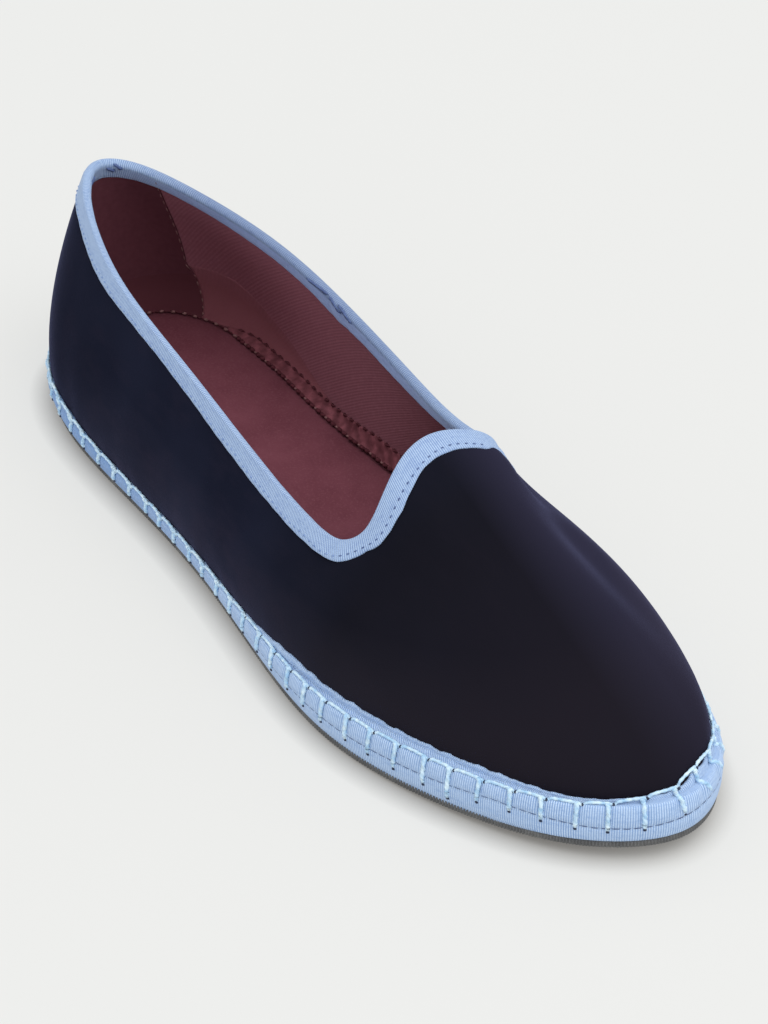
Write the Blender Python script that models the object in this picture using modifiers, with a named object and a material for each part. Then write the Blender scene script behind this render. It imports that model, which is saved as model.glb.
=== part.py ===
"""Slipper loafer for a right foot: cloth sole in grosgrain, velvet upper, bound topline.

Sizes are in millimetres and become metres when a mesh is made. Design frame: X runs from the heel (0)
to the toe, Y to the wearer's left (the inner side), Z up from the floor.
"""

from collections import namedtuple

import bmesh
import bpy
import numpy as np

MM = 0.001

# Driving dimensions
SOLE_LENGTH = 252.0
OUTSOLE_THICKNESS = 2.0
OUTSOLE_INSET = 0.8
OUTSOLE_EDGE_ROUND = 0.5
BAND_HEIGHT_HEEL = 5.8
BAND_HEIGHT_TOE = 10.0
BAND_RISE_BACK = 0.36 * SOLE_LENGTH
BAND_RISE_FRONT = 0.78 * SOLE_LENGTH
TOE_SPRING = 4.4
SPRING_START = 0.68 * SOLE_LENGTH
WAIST_ARCH = 0.8
ARCH_BACK = 0.28 * SOLE_LENGTH
ARCH_FRONT = 0.58 * SOLE_LENGTH
UPPER_WALL = 1.6
INSOLE_THICKNESS = 2.4
INSOLE_CLEARANCE = 0.8
INSOLE_EDGE_ROUND = 0.6
BINDING_THICKNESS = 0.5
BINDING_OUTER_LEG = 5.2
BINDING_INNER_LEG = 4.2
GAP = 0.3
UPPER_SEAT = 0.4

# Mesh fineness
RIBS = 88
RINGS = 13
RIB_SAMPLES = 60
TURN_NUDGE = 1e-4
GRID_HALF = 0.5
WELD = 1e-6

# One row for each section round the sole, from the heel along the outer side to the toe and back along the
# inner side. x, y: lower edge of the band. flare: how far the band's upper edge stands outside that edge.
# ledge: width of the band's top that shows outside the upper.
SoleRow = namedtuple("SoleRow", "x y flare ledge")
SOLE_ROWS = [
    SoleRow(0.0, 0.0, 0.4, 0.3),
    SoleRow(5.0, -17.3, 0.4, 0.3),
    SoleRow(20.2, -28.4, 0.5, 0.3),
    SoleRow(45.4, -33.2, 0.6, 0.3),
    SoleRow(75.6, -34.0, 0.8, 0.3),
    SoleRow(105.8, -36.3, 0.8, 0.3),
    SoleRow(138.6, -40.8, 0.5, 1.0),
    SoleRow(171.4, -43.3, 0.0, 3.0),
    SoleRow(201.6, -37.1, -0.3, 3.6),
    SoleRow(226.8, -26.6, -0.4, 2.8),
    SoleRow(243.2, -14.4, -0.5, 2.4),
    SoleRow(252.0, 4.0, -0.5, 2.4),
    SoleRow(243.2, 20.2, -0.4, 2.4),
    SoleRow(226.8, 29.3, -0.3, 1.4),
    SoleRow(201.6, 36.0, 0.0, 1.1),
    SoleRow(171.4, 37.6, 0.3, 1.2),
    SoleRow(138.6, 29.0, 0.8, 0.6),
    SoleRow(105.8, 20.5, 1.5, 0.3),
    SoleRow(75.6, 23.0, 1.3, 0.3),
    SoleRow(45.4, 28.4, 0.8, 0.3),
    SoleRow(20.2, 27.9, 0.5, 0.3),
    SoleRow(5.0, 17.2, 0.4, 0.3),
]

# The upper's rib over each sole section. top_x, top_y, top_z: the topline. rise, lean: how far the rib's
# lower handle goes up and outwards. reach_x, reach_y, dip: from the topline to the upper handle.
RibRow = namedtuple("RibRow", "top_x top_y top_z rise lean reach_x reach_y dip")
RIB_ROWS = [
    RibRow(-1.6, 0.0, 54.4, 15.0, 2.0, -4.0, 0.0, 14.0),
    RibRow(2.6, -6.8, 54.2, 15.0, 2.0, -4.0, -4.0, 14.0),
    RibRow(15.0, -12.9, 53.4, 15.0, 2.0, -2.5, -6.5, 14.0),
    RibRow(41.0, -20.7, 51.4, 15.0, 2.5, -0.5, -6.0, 13.0),
    RibRow(73.5, -23.4, 47.1, 14.0, 2.5, 0.0, -5.0, 12.0),
    RibRow(104.0, -24.6, 42.2, 13.0, 2.5, 1.0, -5.0, 10.0),
    RibRow(130.0, -26.2, 39.2, 12.0, 2.0, 4.0, -6.0, 8.0),
    RibRow(148.6, -26.4, 39.0, 12.0, 1.5, 9.0, -7.0, 6.0),
    RibRow(156.8, -22.0, 43.4, 12.0, 0.6, 15.0, -7.0, 7.5),
    RibRow(156.6, -16.2, 51.2, 12.0, 0.6, 28.0, -5.0, 13.5),
    RibRow(153.6, -9.0, 57.0, 12.0, 0.6, 40.0, -2.5, 17.5),
    RibRow(151.4, 0.4, 59.0, 12.0, 0.6, 44.0, 1.0, 18.0),
    RibRow(152.3, 9.6, 57.6, 14.5, 0.8, 41.9, 3.2, 18.3),
    RibRow(154.8, 16.8, 52.9, 17.4, 1.0, 24.0, 1.2, 20.2),
    RibRow(155.3, 18.6, 42.9, 15.8, 1.0, 13.4, 7.2, 6.2),
    RibRow(147.4, 25.0, 40.8, 12.2, 1.4, 4.0, 3.2, 8.8),
    RibRow(130.0, 24.8, 39.7, 12.0, 2.0, 4.0, 3.0, 8.0),
    RibRow(104.5, 25.5, 40.6, 12.0, 3.5, 1.0, 2.0, 10.0),
    RibRow(74.0, 25.0, 45.1, 13.0, 3.5, 0.0, 3.0, 12.0),
    RibRow(41.5, 22.2, 48.4, 14.0, 3.0, 0.0, 4.0, 13.0),
    RibRow(15.5, 13.8, 52.2, 15.0, 2.5, -2.5, 6.0, 14.0),
    RibRow(2.8, 7.2, 53.7, 15.0, 2.0, -4.0, 4.0, 14.0),
]
ROW_SPACING_POWER = 0.7

# Side profile of the band. bulge: how far it stands outside its lower edge. share: part of its height.
BandLevel = namedtuple("BandLevel", "bulge share")
BAND_PROFILE = [
    BandLevel(-OUTSOLE_INSET, 0.0),
    BandLevel(0.0, 0.1),
    BandLevel(0.6, 0.5),
    BandLevel(0.3, 0.86),
    BandLevel(-0.3, 1.0),
]

# Colours, roughness and metallic value of each piece
Finish = namedtuple("Finish", "colour roughness metallic")
FINISHES = {
    "outsole": Finish((0.09, 0.09, 0.095), 0.75, 0.0),
    "midsole": Finish((0.37, 0.50, 0.75), 0.80, 0.0),
    "insole": Finish((0.15, 0.042, 0.06), 0.85, 0.0),
    "upper": Finish((0.014, 0.014, 0.028), 0.90, 0.0),
    "collar_binding": Finish((0.32, 0.44, 0.70), 0.75, 0.0),
}


class ClosedSpline:
    """Smooth closed curve through rows of numbers, read by a parameter that runs from 0 to 1 round it."""

    def __init__(self, rows, steps):
        self.rows = np.asarray(rows, float)
        self.steps = np.asarray(steps, float)
        self.starts = np.concatenate([[0.0], np.cumsum(self.steps)])
        self.bends = self.solve_bends()

    def solve_bends(self):
        """Second derivatives at the rows, from equal slope on both sides of each row."""
        count = len(self.rows)
        matrix = np.zeros((count, count))
        slopes = np.zeros_like(self.rows)
        for row in range(count):
            before, after = self.steps[row - 1], self.steps[row]
            matrix[row, row - 1] += before
            matrix[row, row] += 2 * (before + after)
            matrix[row, (row + 1) % count] += after
            ahead = (self.rows[(row + 1) % count] - self.rows[row]) / after
            behind = (self.rows[row] - self.rows[row - 1]) / before
            slopes[row] = 6 * (ahead - behind)
        return np.linalg.solve(matrix, slopes)

    def __call__(self, turn):
        place = np.mod(turn, 1.0) * self.starts[-1]
        row = np.clip(np.searchsorted(self.starts, place, side="right") - 1, 0, len(self.steps) - 1)
        following = (row + 1) % len(self.rows)
        step = self.steps[row][:, None]
        past = (place - self.starts[row])[:, None]
        left = step - past
        cubic = (self.bends[row] * left**3 + self.bends[following] * past**3) / (6 * step)
        start = (self.rows[row] / step - self.bends[row] * step / 6) * left
        end = (self.rows[following] / step - self.bends[following] * step / 6) * past
        return cubic + start + end


def row_steps():
    """Spacing of the sections, from the distance between neighbours on the sole's edge."""
    feet = np.array([(row.x, row.y) for row in SOLE_ROWS])
    distance = np.linalg.norm(np.roll(feet, -1, axis=0) - feet, axis=1)
    return distance**ROW_SPACING_POWER


SOLE_EDGE = ClosedSpline(SOLE_ROWS, row_steps())
RIB_SHAPE = ClosedSpline(RIB_ROWS, row_steps())


def smooth_step(low, high, value):
    share = np.clip((value - low) / (high - low), 0.0, 1.0)
    return share * share * (3 - 2 * share)


def ground(x):
    """Height of the sole's underside: flat at heel and ball, a low arch between them, spring at the toe."""
    spring = TOE_SPRING * np.clip((x - SPRING_START) / (SOLE_LENGTH - SPRING_START), 0.0, None) ** 2
    waist = np.clip((x - ARCH_BACK) / (ARCH_FRONT - ARCH_BACK), 0.0, 1.0)
    return spring + WAIST_ARCH * np.sin(np.pi * waist) ** 2


def band_height(x):
    rise = smooth_step(BAND_RISE_BACK, BAND_RISE_FRONT, x)
    return BAND_HEIGHT_HEEL + (BAND_HEIGHT_TOE - BAND_HEIGHT_HEEL) * rise


def outward(turn):
    """Level direction that points out of the sole's edge."""
    ahead = SOLE_EDGE(turn + TURN_NUDGE)[:, :2] - SOLE_EDGE(turn - TURN_NUDGE)[:, :2]
    ahead /= np.linalg.norm(ahead, axis=1)[:, None]
    return np.column_stack([ahead[:, 1], -ahead[:, 0]])


def sole_ring(turn, offset, height_above):
    """Ring that stands outside the band's lower edge by offset, at a height above the underside."""
    flat = SOLE_EDGE(turn)[:, :2] + outward(turn) * np.reshape(offset, (-1, 1))
    return np.column_stack([flat, ground(flat[:, 0]) + height_above(flat[:, 0])])


def band_base(x):
    return np.full_like(x, OUTSOLE_THICKNESS + GAP)


def band_top(x):
    return band_base(x) + band_height(x)


def rib_handles(turn):
    """The four control points of the upper's rib at each turn."""
    sole = SOLE_EDGE(turn)
    shape = RibRow(*RIB_SHAPE(turn).T)
    level_out = outward(turn)
    foot = sole_ring(turn, sole[:, 2] - sole[:, 3], lambda x: band_top(x) + UPPER_SEAT)
    rising = foot + np.column_stack([level_out * shape.lean[:, None], shape.rise])
    top = np.column_stack([shape.top_x, shape.top_y, shape.top_z])
    falling = top + np.column_stack([shape.reach_x, shape.reach_y, -shape.dip])
    return foot, rising, falling, top


def upper_point(turn, climb):
    """Point on the upper's outside. climb runs from 0 at the sole to 1 at the topline."""
    foot, rising, falling, top = rib_handles(turn)
    climb = np.reshape(climb, (-1, 1))
    rest = 1 - climb
    return foot * rest**3 + 3 * rising * rest**2 * climb + 3 * falling * rest * climb**2 + top * climb**3


def upper_normal(turn, climb):
    """Direction that points out of the upper's surface."""
    low = np.clip(climb - TURN_NUDGE, 0.0, 1.0)
    high = np.clip(climb + TURN_NUDGE, 0.0, 1.0)
    across = upper_point(turn + TURN_NUDGE, climb) - upper_point(turn - TURN_NUDGE, climb)
    along = upper_point(turn, high) - upper_point(turn, low)
    normal = np.cross(across, along)
    return normal / np.linalg.norm(normal, axis=1)[:, None]


def rib_path(turn, climbs):
    return np.stack([upper_point(turn, np.full_like(turn, climb)) for climb in climbs])


def climb_at_height(turn, height):
    """Climb of the point that lies this high above the foot of each rib."""
    climbs = np.linspace(0.0, 1.0, RIB_SAMPLES)
    heights = rib_path(turn, climbs)[:, :, 2]
    heights -= heights[0]
    return np.array([np.interp(height, heights[:, rib], climbs) for rib in range(len(turn))])


def climb_below_top(turn, distance):
    """Climb of the point that lies this far below the topline, measured along each rib."""
    climbs = np.linspace(1.0, 0.0, RIB_SAMPLES)
    lengths = np.linalg.norm(np.diff(rib_path(turn, climbs), axis=0), axis=2)
    lengths = np.vstack([np.zeros(len(turn)), np.cumsum(lengths, axis=0)])
    return np.array([np.interp(distance, lengths[:, rib], climbs) for rib in range(len(turn))])


def clear_scene():
    for item in list(bpy.data.objects):
        bpy.data.objects.remove(item, do_unlink=True)


def finish_material(name):
    finish = FINISHES[name]
    material = bpy.data.materials.new(name)
    material.use_nodes = True
    shader = material.node_tree.nodes["Principled BSDF"]
    shader.inputs["Base Color"].default_value = (*finish.colour, 1.0)
    shader.inputs["Roughness"].default_value = finish.roughness
    shader.inputs["Metallic"].default_value = finish.metallic
    material.diffuse_color = (*finish.colour, 1.0)
    return material


def add_object(name, mesh_maker, collection):
    """Turns a bmesh into a named, smooth-shaded object with its own material."""
    mesh = bpy.data.meshes.new(name)
    mesh_maker.to_mesh(mesh)
    mesh_maker.free()
    mesh.shade_smooth()
    mesh.materials.append(finish_material(name))
    item = bpy.data.objects.new(name, mesh)
    collection.objects.link(item)
    return item


def place(verts, points):
    for vert, point in zip(verts, points):
        vert.co = point * MM


def turns():
    return np.arange(RIBS) / RIBS


def lofted_plate(rings):
    """Solid that starts as a filled ring and is extruded through the others in turn."""
    plate = bmesh.new()
    bmesh.ops.create_circle(plate, cap_ends=True, segments=RIBS, radius=1.0)
    plate.faces.ensure_lookup_table()
    bottom = plate.faces[0]
    place(list(bottom.verts), rings[0])
    cap = bottom
    for ring in rings[1:]:
        grown = bmesh.ops.extrude_face_region(plate, geom=[cap])
        if cap is not bottom:
            bmesh.ops.delete(plate, geom=[cap], context="FACES_ONLY")
        cap = next(face for face in grown["geom"] if isinstance(face, bmesh.types.BMFace))
        place(list(cap.verts), ring)
    bmesh.ops.recalc_face_normals(plate, faces=plate.faces[:])
    bmesh.ops.triangulate(plate, faces=[bottom, cap], ngon_method="BEAUTY")
    return plate


def mapped_grid(across, along, surface):
    """Grid carried to surface(turn, step), both from 0 to 1, and welded where its ends meet."""
    grid = bmesh.new()
    bmesh.ops.create_grid(grid, x_segments=across, y_segments=along, size=GRID_HALF)
    verts = list(grid.verts)
    turn = np.array([vert.co.x + GRID_HALF for vert in verts])
    step = np.array([vert.co.y + GRID_HALF for vert in verts])
    place(verts, surface(turn, step))
    bmesh.ops.remove_doubles(grid, verts=grid.verts[:], dist=WELD)
    return grid


def make_outsole(collection):
    inner = -OUTSOLE_INSET - OUTSOLE_EDGE_ROUND
    levels = [
        (inner, 0.0),
        (-OUTSOLE_INSET, OUTSOLE_EDGE_ROUND),
        (-OUTSOLE_INSET, OUTSOLE_THICKNESS),
    ]
    rings = [
        sole_ring(turns(), np.full(RIBS, offset), lambda x, level=level: np.full_like(x, level))
        for offset, level in levels
    ]
    return add_object("outsole", lofted_plate(rings), collection)


def make_midsole(collection):
    turn = turns()
    flare = SOLE_EDGE(turn)[:, 2]
    rings = []
    for row in BAND_PROFILE:
        offset = row.bulge + flare * row.share
        rings.append(sole_ring(turn, offset, lambda x: band_base(x) + row.share * band_height(x)))
    return add_object("midsole", lofted_plate(rings), collection)


def make_insole(collection):
    """Plate that lies on the midsole and stops just inside the upper's wall."""
    turn = turns()
    levels = [
        (0.0, INSOLE_CLEARANCE),
        (INSOLE_THICKNESS - INSOLE_EDGE_ROUND, INSOLE_CLEARANCE),
        (INSOLE_THICKNESS, INSOLE_CLEARANCE + INSOLE_EDGE_ROUND),
    ]
    rings = []
    for level, clearance in levels:
        climb = climb_at_height(turn, level)
        ring = upper_point(turn, climb) - upper_normal(turn, climb) * (UPPER_WALL + clearance)
        ring[:, 2] = ground(ring[:, 0]) + band_top(ring[:, 0]) + GAP + level
        rings.append(ring)
    return add_object("insole", lofted_plate(rings), collection)


def make_upper(collection):
    shell = mapped_grid(RIBS, RINGS, upper_point)
    item = add_object("upper", shell, collection)
    wall = item.modifiers.new("wall", "SOLIDIFY")
    wall.thickness = UPPER_WALL * MM
    wall.offset = -1.0
    wall.use_even_offset = True
    wall.use_rim = True
    return item


def binding_section():
    """Closed section of the folded ribbon: distance below the topline, offset out of the upper."""
    out_low, out_high = GAP, GAP + BINDING_THICKNESS
    in_low, in_high = -UPPER_WALL - GAP, -UPPER_WALL - GAP - BINDING_THICKNESS
    fold_in, fold_out = -GAP, -GAP - BINDING_THICKNESS
    corner = BINDING_THICKNESS / 2
    out_mid, in_mid = BINDING_OUTER_LEG / 2, BINDING_INNER_LEG / 2
    outside = [(BINDING_OUTER_LEG, out_high), (out_mid, out_high), (0.0, out_high)]
    crown = [(fold_out, out_high - corner), (fold_out, in_high + corner)]
    inside = [(0.0, in_high), (in_mid, in_high), (BINDING_INNER_LEG, in_high)]
    back_up = [(BINDING_INNER_LEG, in_low), (in_mid, in_low), (fold_in, in_low)]
    back_down = [(fold_in, out_low), (out_mid, out_low), (BINDING_OUTER_LEG, out_low)]
    return outside + crown + inside + back_up + back_down


def make_collar_binding(collection):
    section = binding_section()

    def surface(turn, step):
        corner = np.rint(step * len(section)).astype(int) % len(section)
        points = np.empty((len(turn), 3))
        for index, (below, offset) in enumerate(section):
            chosen = corner == index
            ribs = turn[chosen]
            climb = climb_below_top(ribs, max(below, 0.0))
            normal = upper_normal(ribs, climb)
            top = upper_point(ribs, np.ones_like(ribs))
            upward = top - upper_point(ribs, climb_below_top(ribs, BINDING_INNER_LEG))
            upward /= np.linalg.norm(upward, axis=1)[:, None]
            points[chosen] = upper_point(ribs, climb) + normal * offset + upward * max(-below, 0.0)
        return points

    ribbon = mapped_grid(RIBS, len(section), surface)
    bmesh.ops.recalc_face_normals(ribbon, faces=ribbon.faces[:])
    return add_object("collar_binding", ribbon, collection)


def centre_on_origin(items, collection):
    """Hangs every piece on one empty, moved so that the shoe's box is centred over the origin."""
    stand = bpy.data.objects.new("shoe_origin", None)
    collection.objects.link(stand)
    bpy.context.view_layer.update()
    graph = bpy.context.evaluated_depsgraph_get()
    corners = []
    for item in items:
        mesh = item.evaluated_get(graph).to_mesh()
        corners += [vert.co.copy() for vert in mesh.vertices]
        item.parent = stand
    spread = np.array(corners)
    middle = (spread.min(axis=0) + spread.max(axis=0)) / 2
    stand.location = (-middle[0], -middle[1], -spread[:, 2].min())
    bpy.context.view_layer.update()


def main():
    clear_scene()
    shoe = bpy.data.collections.new("slipper_loafer")
    bpy.context.scene.collection.children.link(shoe)
    makers = [make_outsole, make_midsole, make_insole, make_upper, make_collar_binding]
    centre_on_origin([maker(shoe) for maker in makers], shoe)


main()
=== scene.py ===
# %% [markdown]
# # Dressing a velvet slipper loafer
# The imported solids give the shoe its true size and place. This lesson lays cloth, ribbon and thread
# over them: a velvet upper, a burgundy inside, a ribbed ribbon round the sole and along the topline,
# and a hand-sewn blanket stitch. Everything is in metres in the frame of the solids.

from collections import namedtuple

import bmesh
import bpy
import numpy as np
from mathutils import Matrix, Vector


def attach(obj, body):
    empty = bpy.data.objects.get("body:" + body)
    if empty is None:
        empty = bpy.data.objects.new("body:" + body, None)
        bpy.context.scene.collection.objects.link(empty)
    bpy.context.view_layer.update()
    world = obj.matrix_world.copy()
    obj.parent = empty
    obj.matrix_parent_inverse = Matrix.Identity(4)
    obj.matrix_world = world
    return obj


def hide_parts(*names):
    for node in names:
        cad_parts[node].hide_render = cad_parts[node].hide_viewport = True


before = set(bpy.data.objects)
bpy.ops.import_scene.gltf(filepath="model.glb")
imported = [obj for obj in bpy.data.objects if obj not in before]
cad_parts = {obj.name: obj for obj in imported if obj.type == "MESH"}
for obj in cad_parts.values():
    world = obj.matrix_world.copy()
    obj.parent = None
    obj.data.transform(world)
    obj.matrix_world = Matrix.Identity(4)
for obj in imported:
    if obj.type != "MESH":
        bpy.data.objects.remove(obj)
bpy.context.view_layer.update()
MM = 0.001
print("solids:", sorted(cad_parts))

# %% [markdown]
# ## The last: two tables that carry every surface
# A shoe is drawn from its last. Here the last is a ring of sections: where the sole's edge runs, and
# the rib of the upper that rises from it to the topline. Each later piece is laid on these two rings,
# so cloth, ribbon and thread all agree. A sculpted shoe could be freer in form, but every piece would
# then have to be fitted to it by eye. Sizes are millimetres from the back of the heel.

# %% Sections round the sole
SoleRow = namedtuple("SoleRow", "x y flare ledge")
SOLE_ROWS = [
    SoleRow(*row)
    for row in (
        (0.0, 0.0, 0.4, 0.3), (5.0, -17.3, 0.4, 0.3), (20.2, -28.4, 0.5, 0.3), (45.4, -33.2, 0.6, 0.3),
        (75.6, -34.0, 0.8, 0.3), (105.8, -36.3, 0.8, 0.3), (138.6, -40.8, 0.5, 1.0), (171.4, -43.3, 0.0, 3.0),
        (201.6, -37.1, -0.3, 3.6), (226.8, -26.6, -0.4, 2.8), (243.2, -14.4, -0.5, 2.4), (252.0, 4.0, -0.5, 2.4),
        (243.2, 20.2, -0.4, 2.4), (226.8, 29.3, -0.3, 1.4), (201.6, 36.0, 0.0, 1.1), (171.4, 37.6, 0.3, 1.2),
        (138.6, 29.0, 0.8, 0.6), (105.8, 20.5, 1.5, 0.3), (75.6, 23.0, 1.3, 0.3), (45.4, 28.4, 0.8, 0.3),
        (20.2, 27.9, 0.5, 0.3), (5.0, 17.2, 0.4, 0.3),
    )
]
print("sole sections:", len(SOLE_ROWS))

# %% Ribs of the upper
RibRow = namedtuple("RibRow", "top_x top_y top_z rise lean reach_x reach_y dip")
RIB_ROWS = [
    RibRow(*row)
    for row in (
        (-1.6, 0.0, 54.4, 15.0, 2.0, -4.0, 0.0, 14.0), (2.6, -6.8, 54.2, 15.0, 2.0, -4.0, -4.0, 14.0),
        (15.0, -12.9, 53.4, 15.0, 2.0, -2.5, -6.5, 14.0), (41.0, -20.7, 51.4, 15.0, 2.5, -0.5, -6.0, 13.0),
        (73.5, -23.4, 47.1, 14.0, 2.5, 0.0, -5.0, 12.0), (104.0, -24.6, 42.2, 13.0, 2.5, 1.0, -5.0, 10.0),
        (130.0, -26.2, 39.2, 12.0, 2.0, 4.0, -6.0, 8.0), (148.6, -26.4, 39.0, 12.0, 1.5, 9.0, -7.0, 6.0),
        (156.8, -22.0, 43.4, 12.0, 0.6, 15.0, -7.0, 7.5), (156.6, -16.2, 51.2, 12.0, 0.6, 28.0, -5.0, 13.5),
        (153.6, -9.0, 57.0, 12.0, 0.6, 40.0, -2.5, 17.5), (151.4, 0.4, 59.0, 12.0, 0.6, 44.0, 1.0, 18.0),
        (152.3, 9.6, 57.6, 14.5, 0.8, 41.9, 3.2, 18.3), (154.8, 16.8, 52.9, 17.4, 1.0, 24.0, 1.2, 20.2),
        (155.3, 18.6, 42.9, 15.8, 1.0, 13.4, 7.2, 6.2), (147.4, 25.0, 40.8, 12.2, 1.4, 4.0, 3.2, 8.8),
        (130.0, 24.8, 39.7, 12.0, 2.0, 4.0, 3.0, 8.0), (104.5, 25.5, 40.6, 12.0, 3.5, 1.0, 2.0, 10.0),
        (74.0, 25.0, 45.1, 13.0, 3.5, 0.0, 3.0, 12.0), (41.5, 22.2, 48.4, 14.0, 3.0, 0.0, 4.0, 13.0),
        (15.5, 13.8, 52.2, 15.0, 2.5, -2.5, 6.0, 14.0), (2.8, 7.2, 53.7, 15.0, 2.0, -4.0, 4.0, 14.0),
    )
]
print("ribs:", len(RIB_ROWS))

# %% [markdown]
# A cubic spline that closes on itself turns each table into a smooth ring. It is read by a turn that
# goes from 0 at the heel along the outer side to the toe and back to 1 along the inner side. Straight
# runs between the rows would be simpler, but would show as facets in the velvet.


# %% A closed spline through the rows
class ClosedSpline:
    """Smooth closed curve through rows of numbers, read by a turn from 0 to 1."""

    def __init__(self, rows, steps):
        self.rows, self.steps = np.asarray(rows, float), np.asarray(steps, float)
        self.starts = np.concatenate([[0.0], np.cumsum(self.steps)])
        before, each = np.roll(self.steps, 1), np.eye(len(rows))
        slopes = (np.roll(self.rows, -1, axis=0) - self.rows) / self.steps[:, None]
        matrix = np.diag(2 * (before + self.steps)) + np.roll(each, -1, axis=1) * before[:, None]
        matrix += np.roll(each, 1, axis=1) * self.steps[:, None]
        self.bends = np.linalg.solve(matrix, 6 * (slopes - np.roll(slopes, 1, axis=0)))

    def __call__(self, turn):
        place = np.mod(turn, 1.0) * self.starts[-1]
        row = np.clip(np.searchsorted(self.starts, place, side="right") - 1, 0, len(self.steps) - 1)
        following = (row + 1) % len(self.rows)
        step = self.steps[row][:, None]
        past = (place - self.starts[row])[:, None]
        left = step - past
        cubic = (self.bends[row] * left**3 + self.bends[following] * past**3) / (6 * step)
        start = (self.rows[row] / step - self.bends[row] * step / 6) * left
        end = (self.rows[following] / step - self.bends[following] * step / 6) * past
        return cubic + start + end


ROW_SPACING_POWER = 0.7
feet = np.array([(row.x, row.y) for row in SOLE_ROWS])
row_steps = np.linalg.norm(np.roll(feet, -1, axis=0) - feet, axis=1) ** ROW_SPACING_POWER
SOLE_EDGE = ClosedSpline(SOLE_ROWS, row_steps)
RIB_SHAPE = ClosedSpline(RIB_ROWS, row_steps)
print("toe at", np.round(SOLE_EDGE(np.array([0.5]))[0, :2], 1))

# %% Heights along the sole
SOLE_LENGTH = 252.0
OUTSOLE_THICKNESS, GAP = 2.0, 0.3
BAND_HEIGHT_HEEL, BAND_HEIGHT_TOE = 5.8, 10.0
BAND_RISE_BACK, BAND_RISE_FRONT = 0.36 * SOLE_LENGTH, 0.78 * SOLE_LENGTH
TOE_SPRING, SPRING_START = 4.4, 0.68 * SOLE_LENGTH
WAIST_ARCH, ARCH_BACK, ARCH_FRONT = 0.8, 0.28 * SOLE_LENGTH, 0.58 * SOLE_LENGTH
UPPER_SEAT, UPPER_WALL = 0.4, 1.6
NUDGE = 1e-4


def smooth_step(low, high, value):
    share = np.clip((value - low) / (high - low), 0.0, 1.0)
    return share * share * (3 - 2 * share)


def ground(x):
    """Height of the underside: flat at heel and ball, a low arch between, spring at the toe."""
    spring = TOE_SPRING * np.clip((x - SPRING_START) / (SOLE_LENGTH - SPRING_START), 0.0, None) ** 2
    waist = np.clip((x - ARCH_BACK) / (ARCH_FRONT - ARCH_BACK), 0.0, 1.0)
    return spring + WAIST_ARCH * np.sin(np.pi * waist) ** 2


def band_height(x):
    rise = smooth_step(BAND_RISE_BACK, BAND_RISE_FRONT, x)
    return BAND_HEIGHT_HEEL + (BAND_HEIGHT_TOE - BAND_HEIGHT_HEEL) * rise


def outward(turn):
    """Level direction out of the sole's edge."""
    ahead = SOLE_EDGE(turn + NUDGE)[:, :2] - SOLE_EDGE(turn - NUDGE)[:, :2]
    ahead /= np.linalg.norm(ahead, axis=1)[:, None]
    return np.column_stack([ahead[:, 1], -ahead[:, 0]])


def sole_ring(turn, offset, share):
    """Points outside the band's lower edge by offset, at a share of the band's height."""
    flat = SOLE_EDGE(turn)[:, :2] + outward(turn) * np.reshape(offset, (-1, 1))
    height = OUTSOLE_THICKNESS + GAP + share * band_height(flat[:, 0])
    return np.column_stack([flat, ground(flat[:, 0]) + height])


print("band height at the toe", band_height(SOLE_LENGTH), "mm")


# %% Points and directions on the upper
def upper_point(turn, climb):
    """Point on the upper's outside. climb runs from 0 at the sole to 1 at the topline."""
    sole = SOLE_EDGE(turn)
    shape = RibRow(*RIB_SHAPE(turn).T)
    foot = sole_ring(turn, sole[:, 2] - sole[:, 3], 1.0)
    foot[:, 2] += UPPER_SEAT
    rising = foot + np.column_stack([outward(turn) * shape.lean[:, None], shape.rise])
    top = np.column_stack([shape.top_x, shape.top_y, shape.top_z])
    falling = top + np.column_stack([shape.reach_x, shape.reach_y, -shape.dip])
    climb = np.reshape(climb, (-1, 1))
    rest = 1 - climb
    return foot * rest**3 + 3 * rising * rest**2 * climb + 3 * falling * rest * climb**2 + top * climb**3


def upper_normal(turn, climb):
    """Direction out of the upper's surface."""
    low, high = np.clip(climb - NUDGE, 0.0, 1.0), np.clip(climb + NUDGE, 0.0, 1.0)
    across = upper_point(turn + NUDGE, climb) - upper_point(turn - NUDGE, climb)
    normal = np.cross(across, upper_point(turn, high) - upper_point(turn, low))
    return normal / np.linalg.norm(normal, axis=1)[:, None]


def off_upper(turn, climb, off):
    """Point that stands off the upper's outside by off, or inside it where off is below zero."""
    return upper_point(turn, climb) + upper_normal(turn, climb) * np.reshape(off, (-1, 1))


print("tongue height", np.round(upper_point(np.array([0.5]), np.array([1.0]))[0, 2], 1), "mm")

# %% Finding a place on a rib
RIB_SAMPLES, TURN_SAMPLES = 61, 1440
sample_turns = np.linspace(0.0, 1.0, TURN_SAMPLES + 1)
sample_climbs = np.linspace(0.0, 1.0, RIB_SAMPLES)
RIB_POINTS = np.stack([upper_point(sample_turns, np.full_like(sample_turns, climb)) for climb in sample_climbs])
RIB_HEIGHTS = RIB_POINTS[:, :, 2] - RIB_POINTS[0, :, 2]
rib_runs = np.linalg.norm(np.diff(RIB_POINTS, axis=0), axis=2)
RIB_BELOW_TOP = np.vstack([np.cumsum(rib_runs[::-1], axis=0)[::-1], np.zeros(TURN_SAMPLES + 1)])


def climb_where(turn, wanted, measured):
    """Climb at which a measure, sampled up each rib, reaches the wanted value."""
    place = np.mod(turn, 1.0) * TURN_SAMPLES
    column = np.minimum(place.astype(int), TURN_SAMPLES - 1)
    share = place - column
    values = measured[:, column] * (1 - share) + measured[:, column + 1] * share
    row = np.clip((values < wanted).sum(axis=0), 1, RIB_SAMPLES - 1)
    each = np.arange(len(turn))
    before, after = values[row - 1, each], values[row, each]
    return np.clip((row - 1 + (wanted - before) / (after - before)) / (RIB_SAMPLES - 1), 0.0, 1.0)


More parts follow.
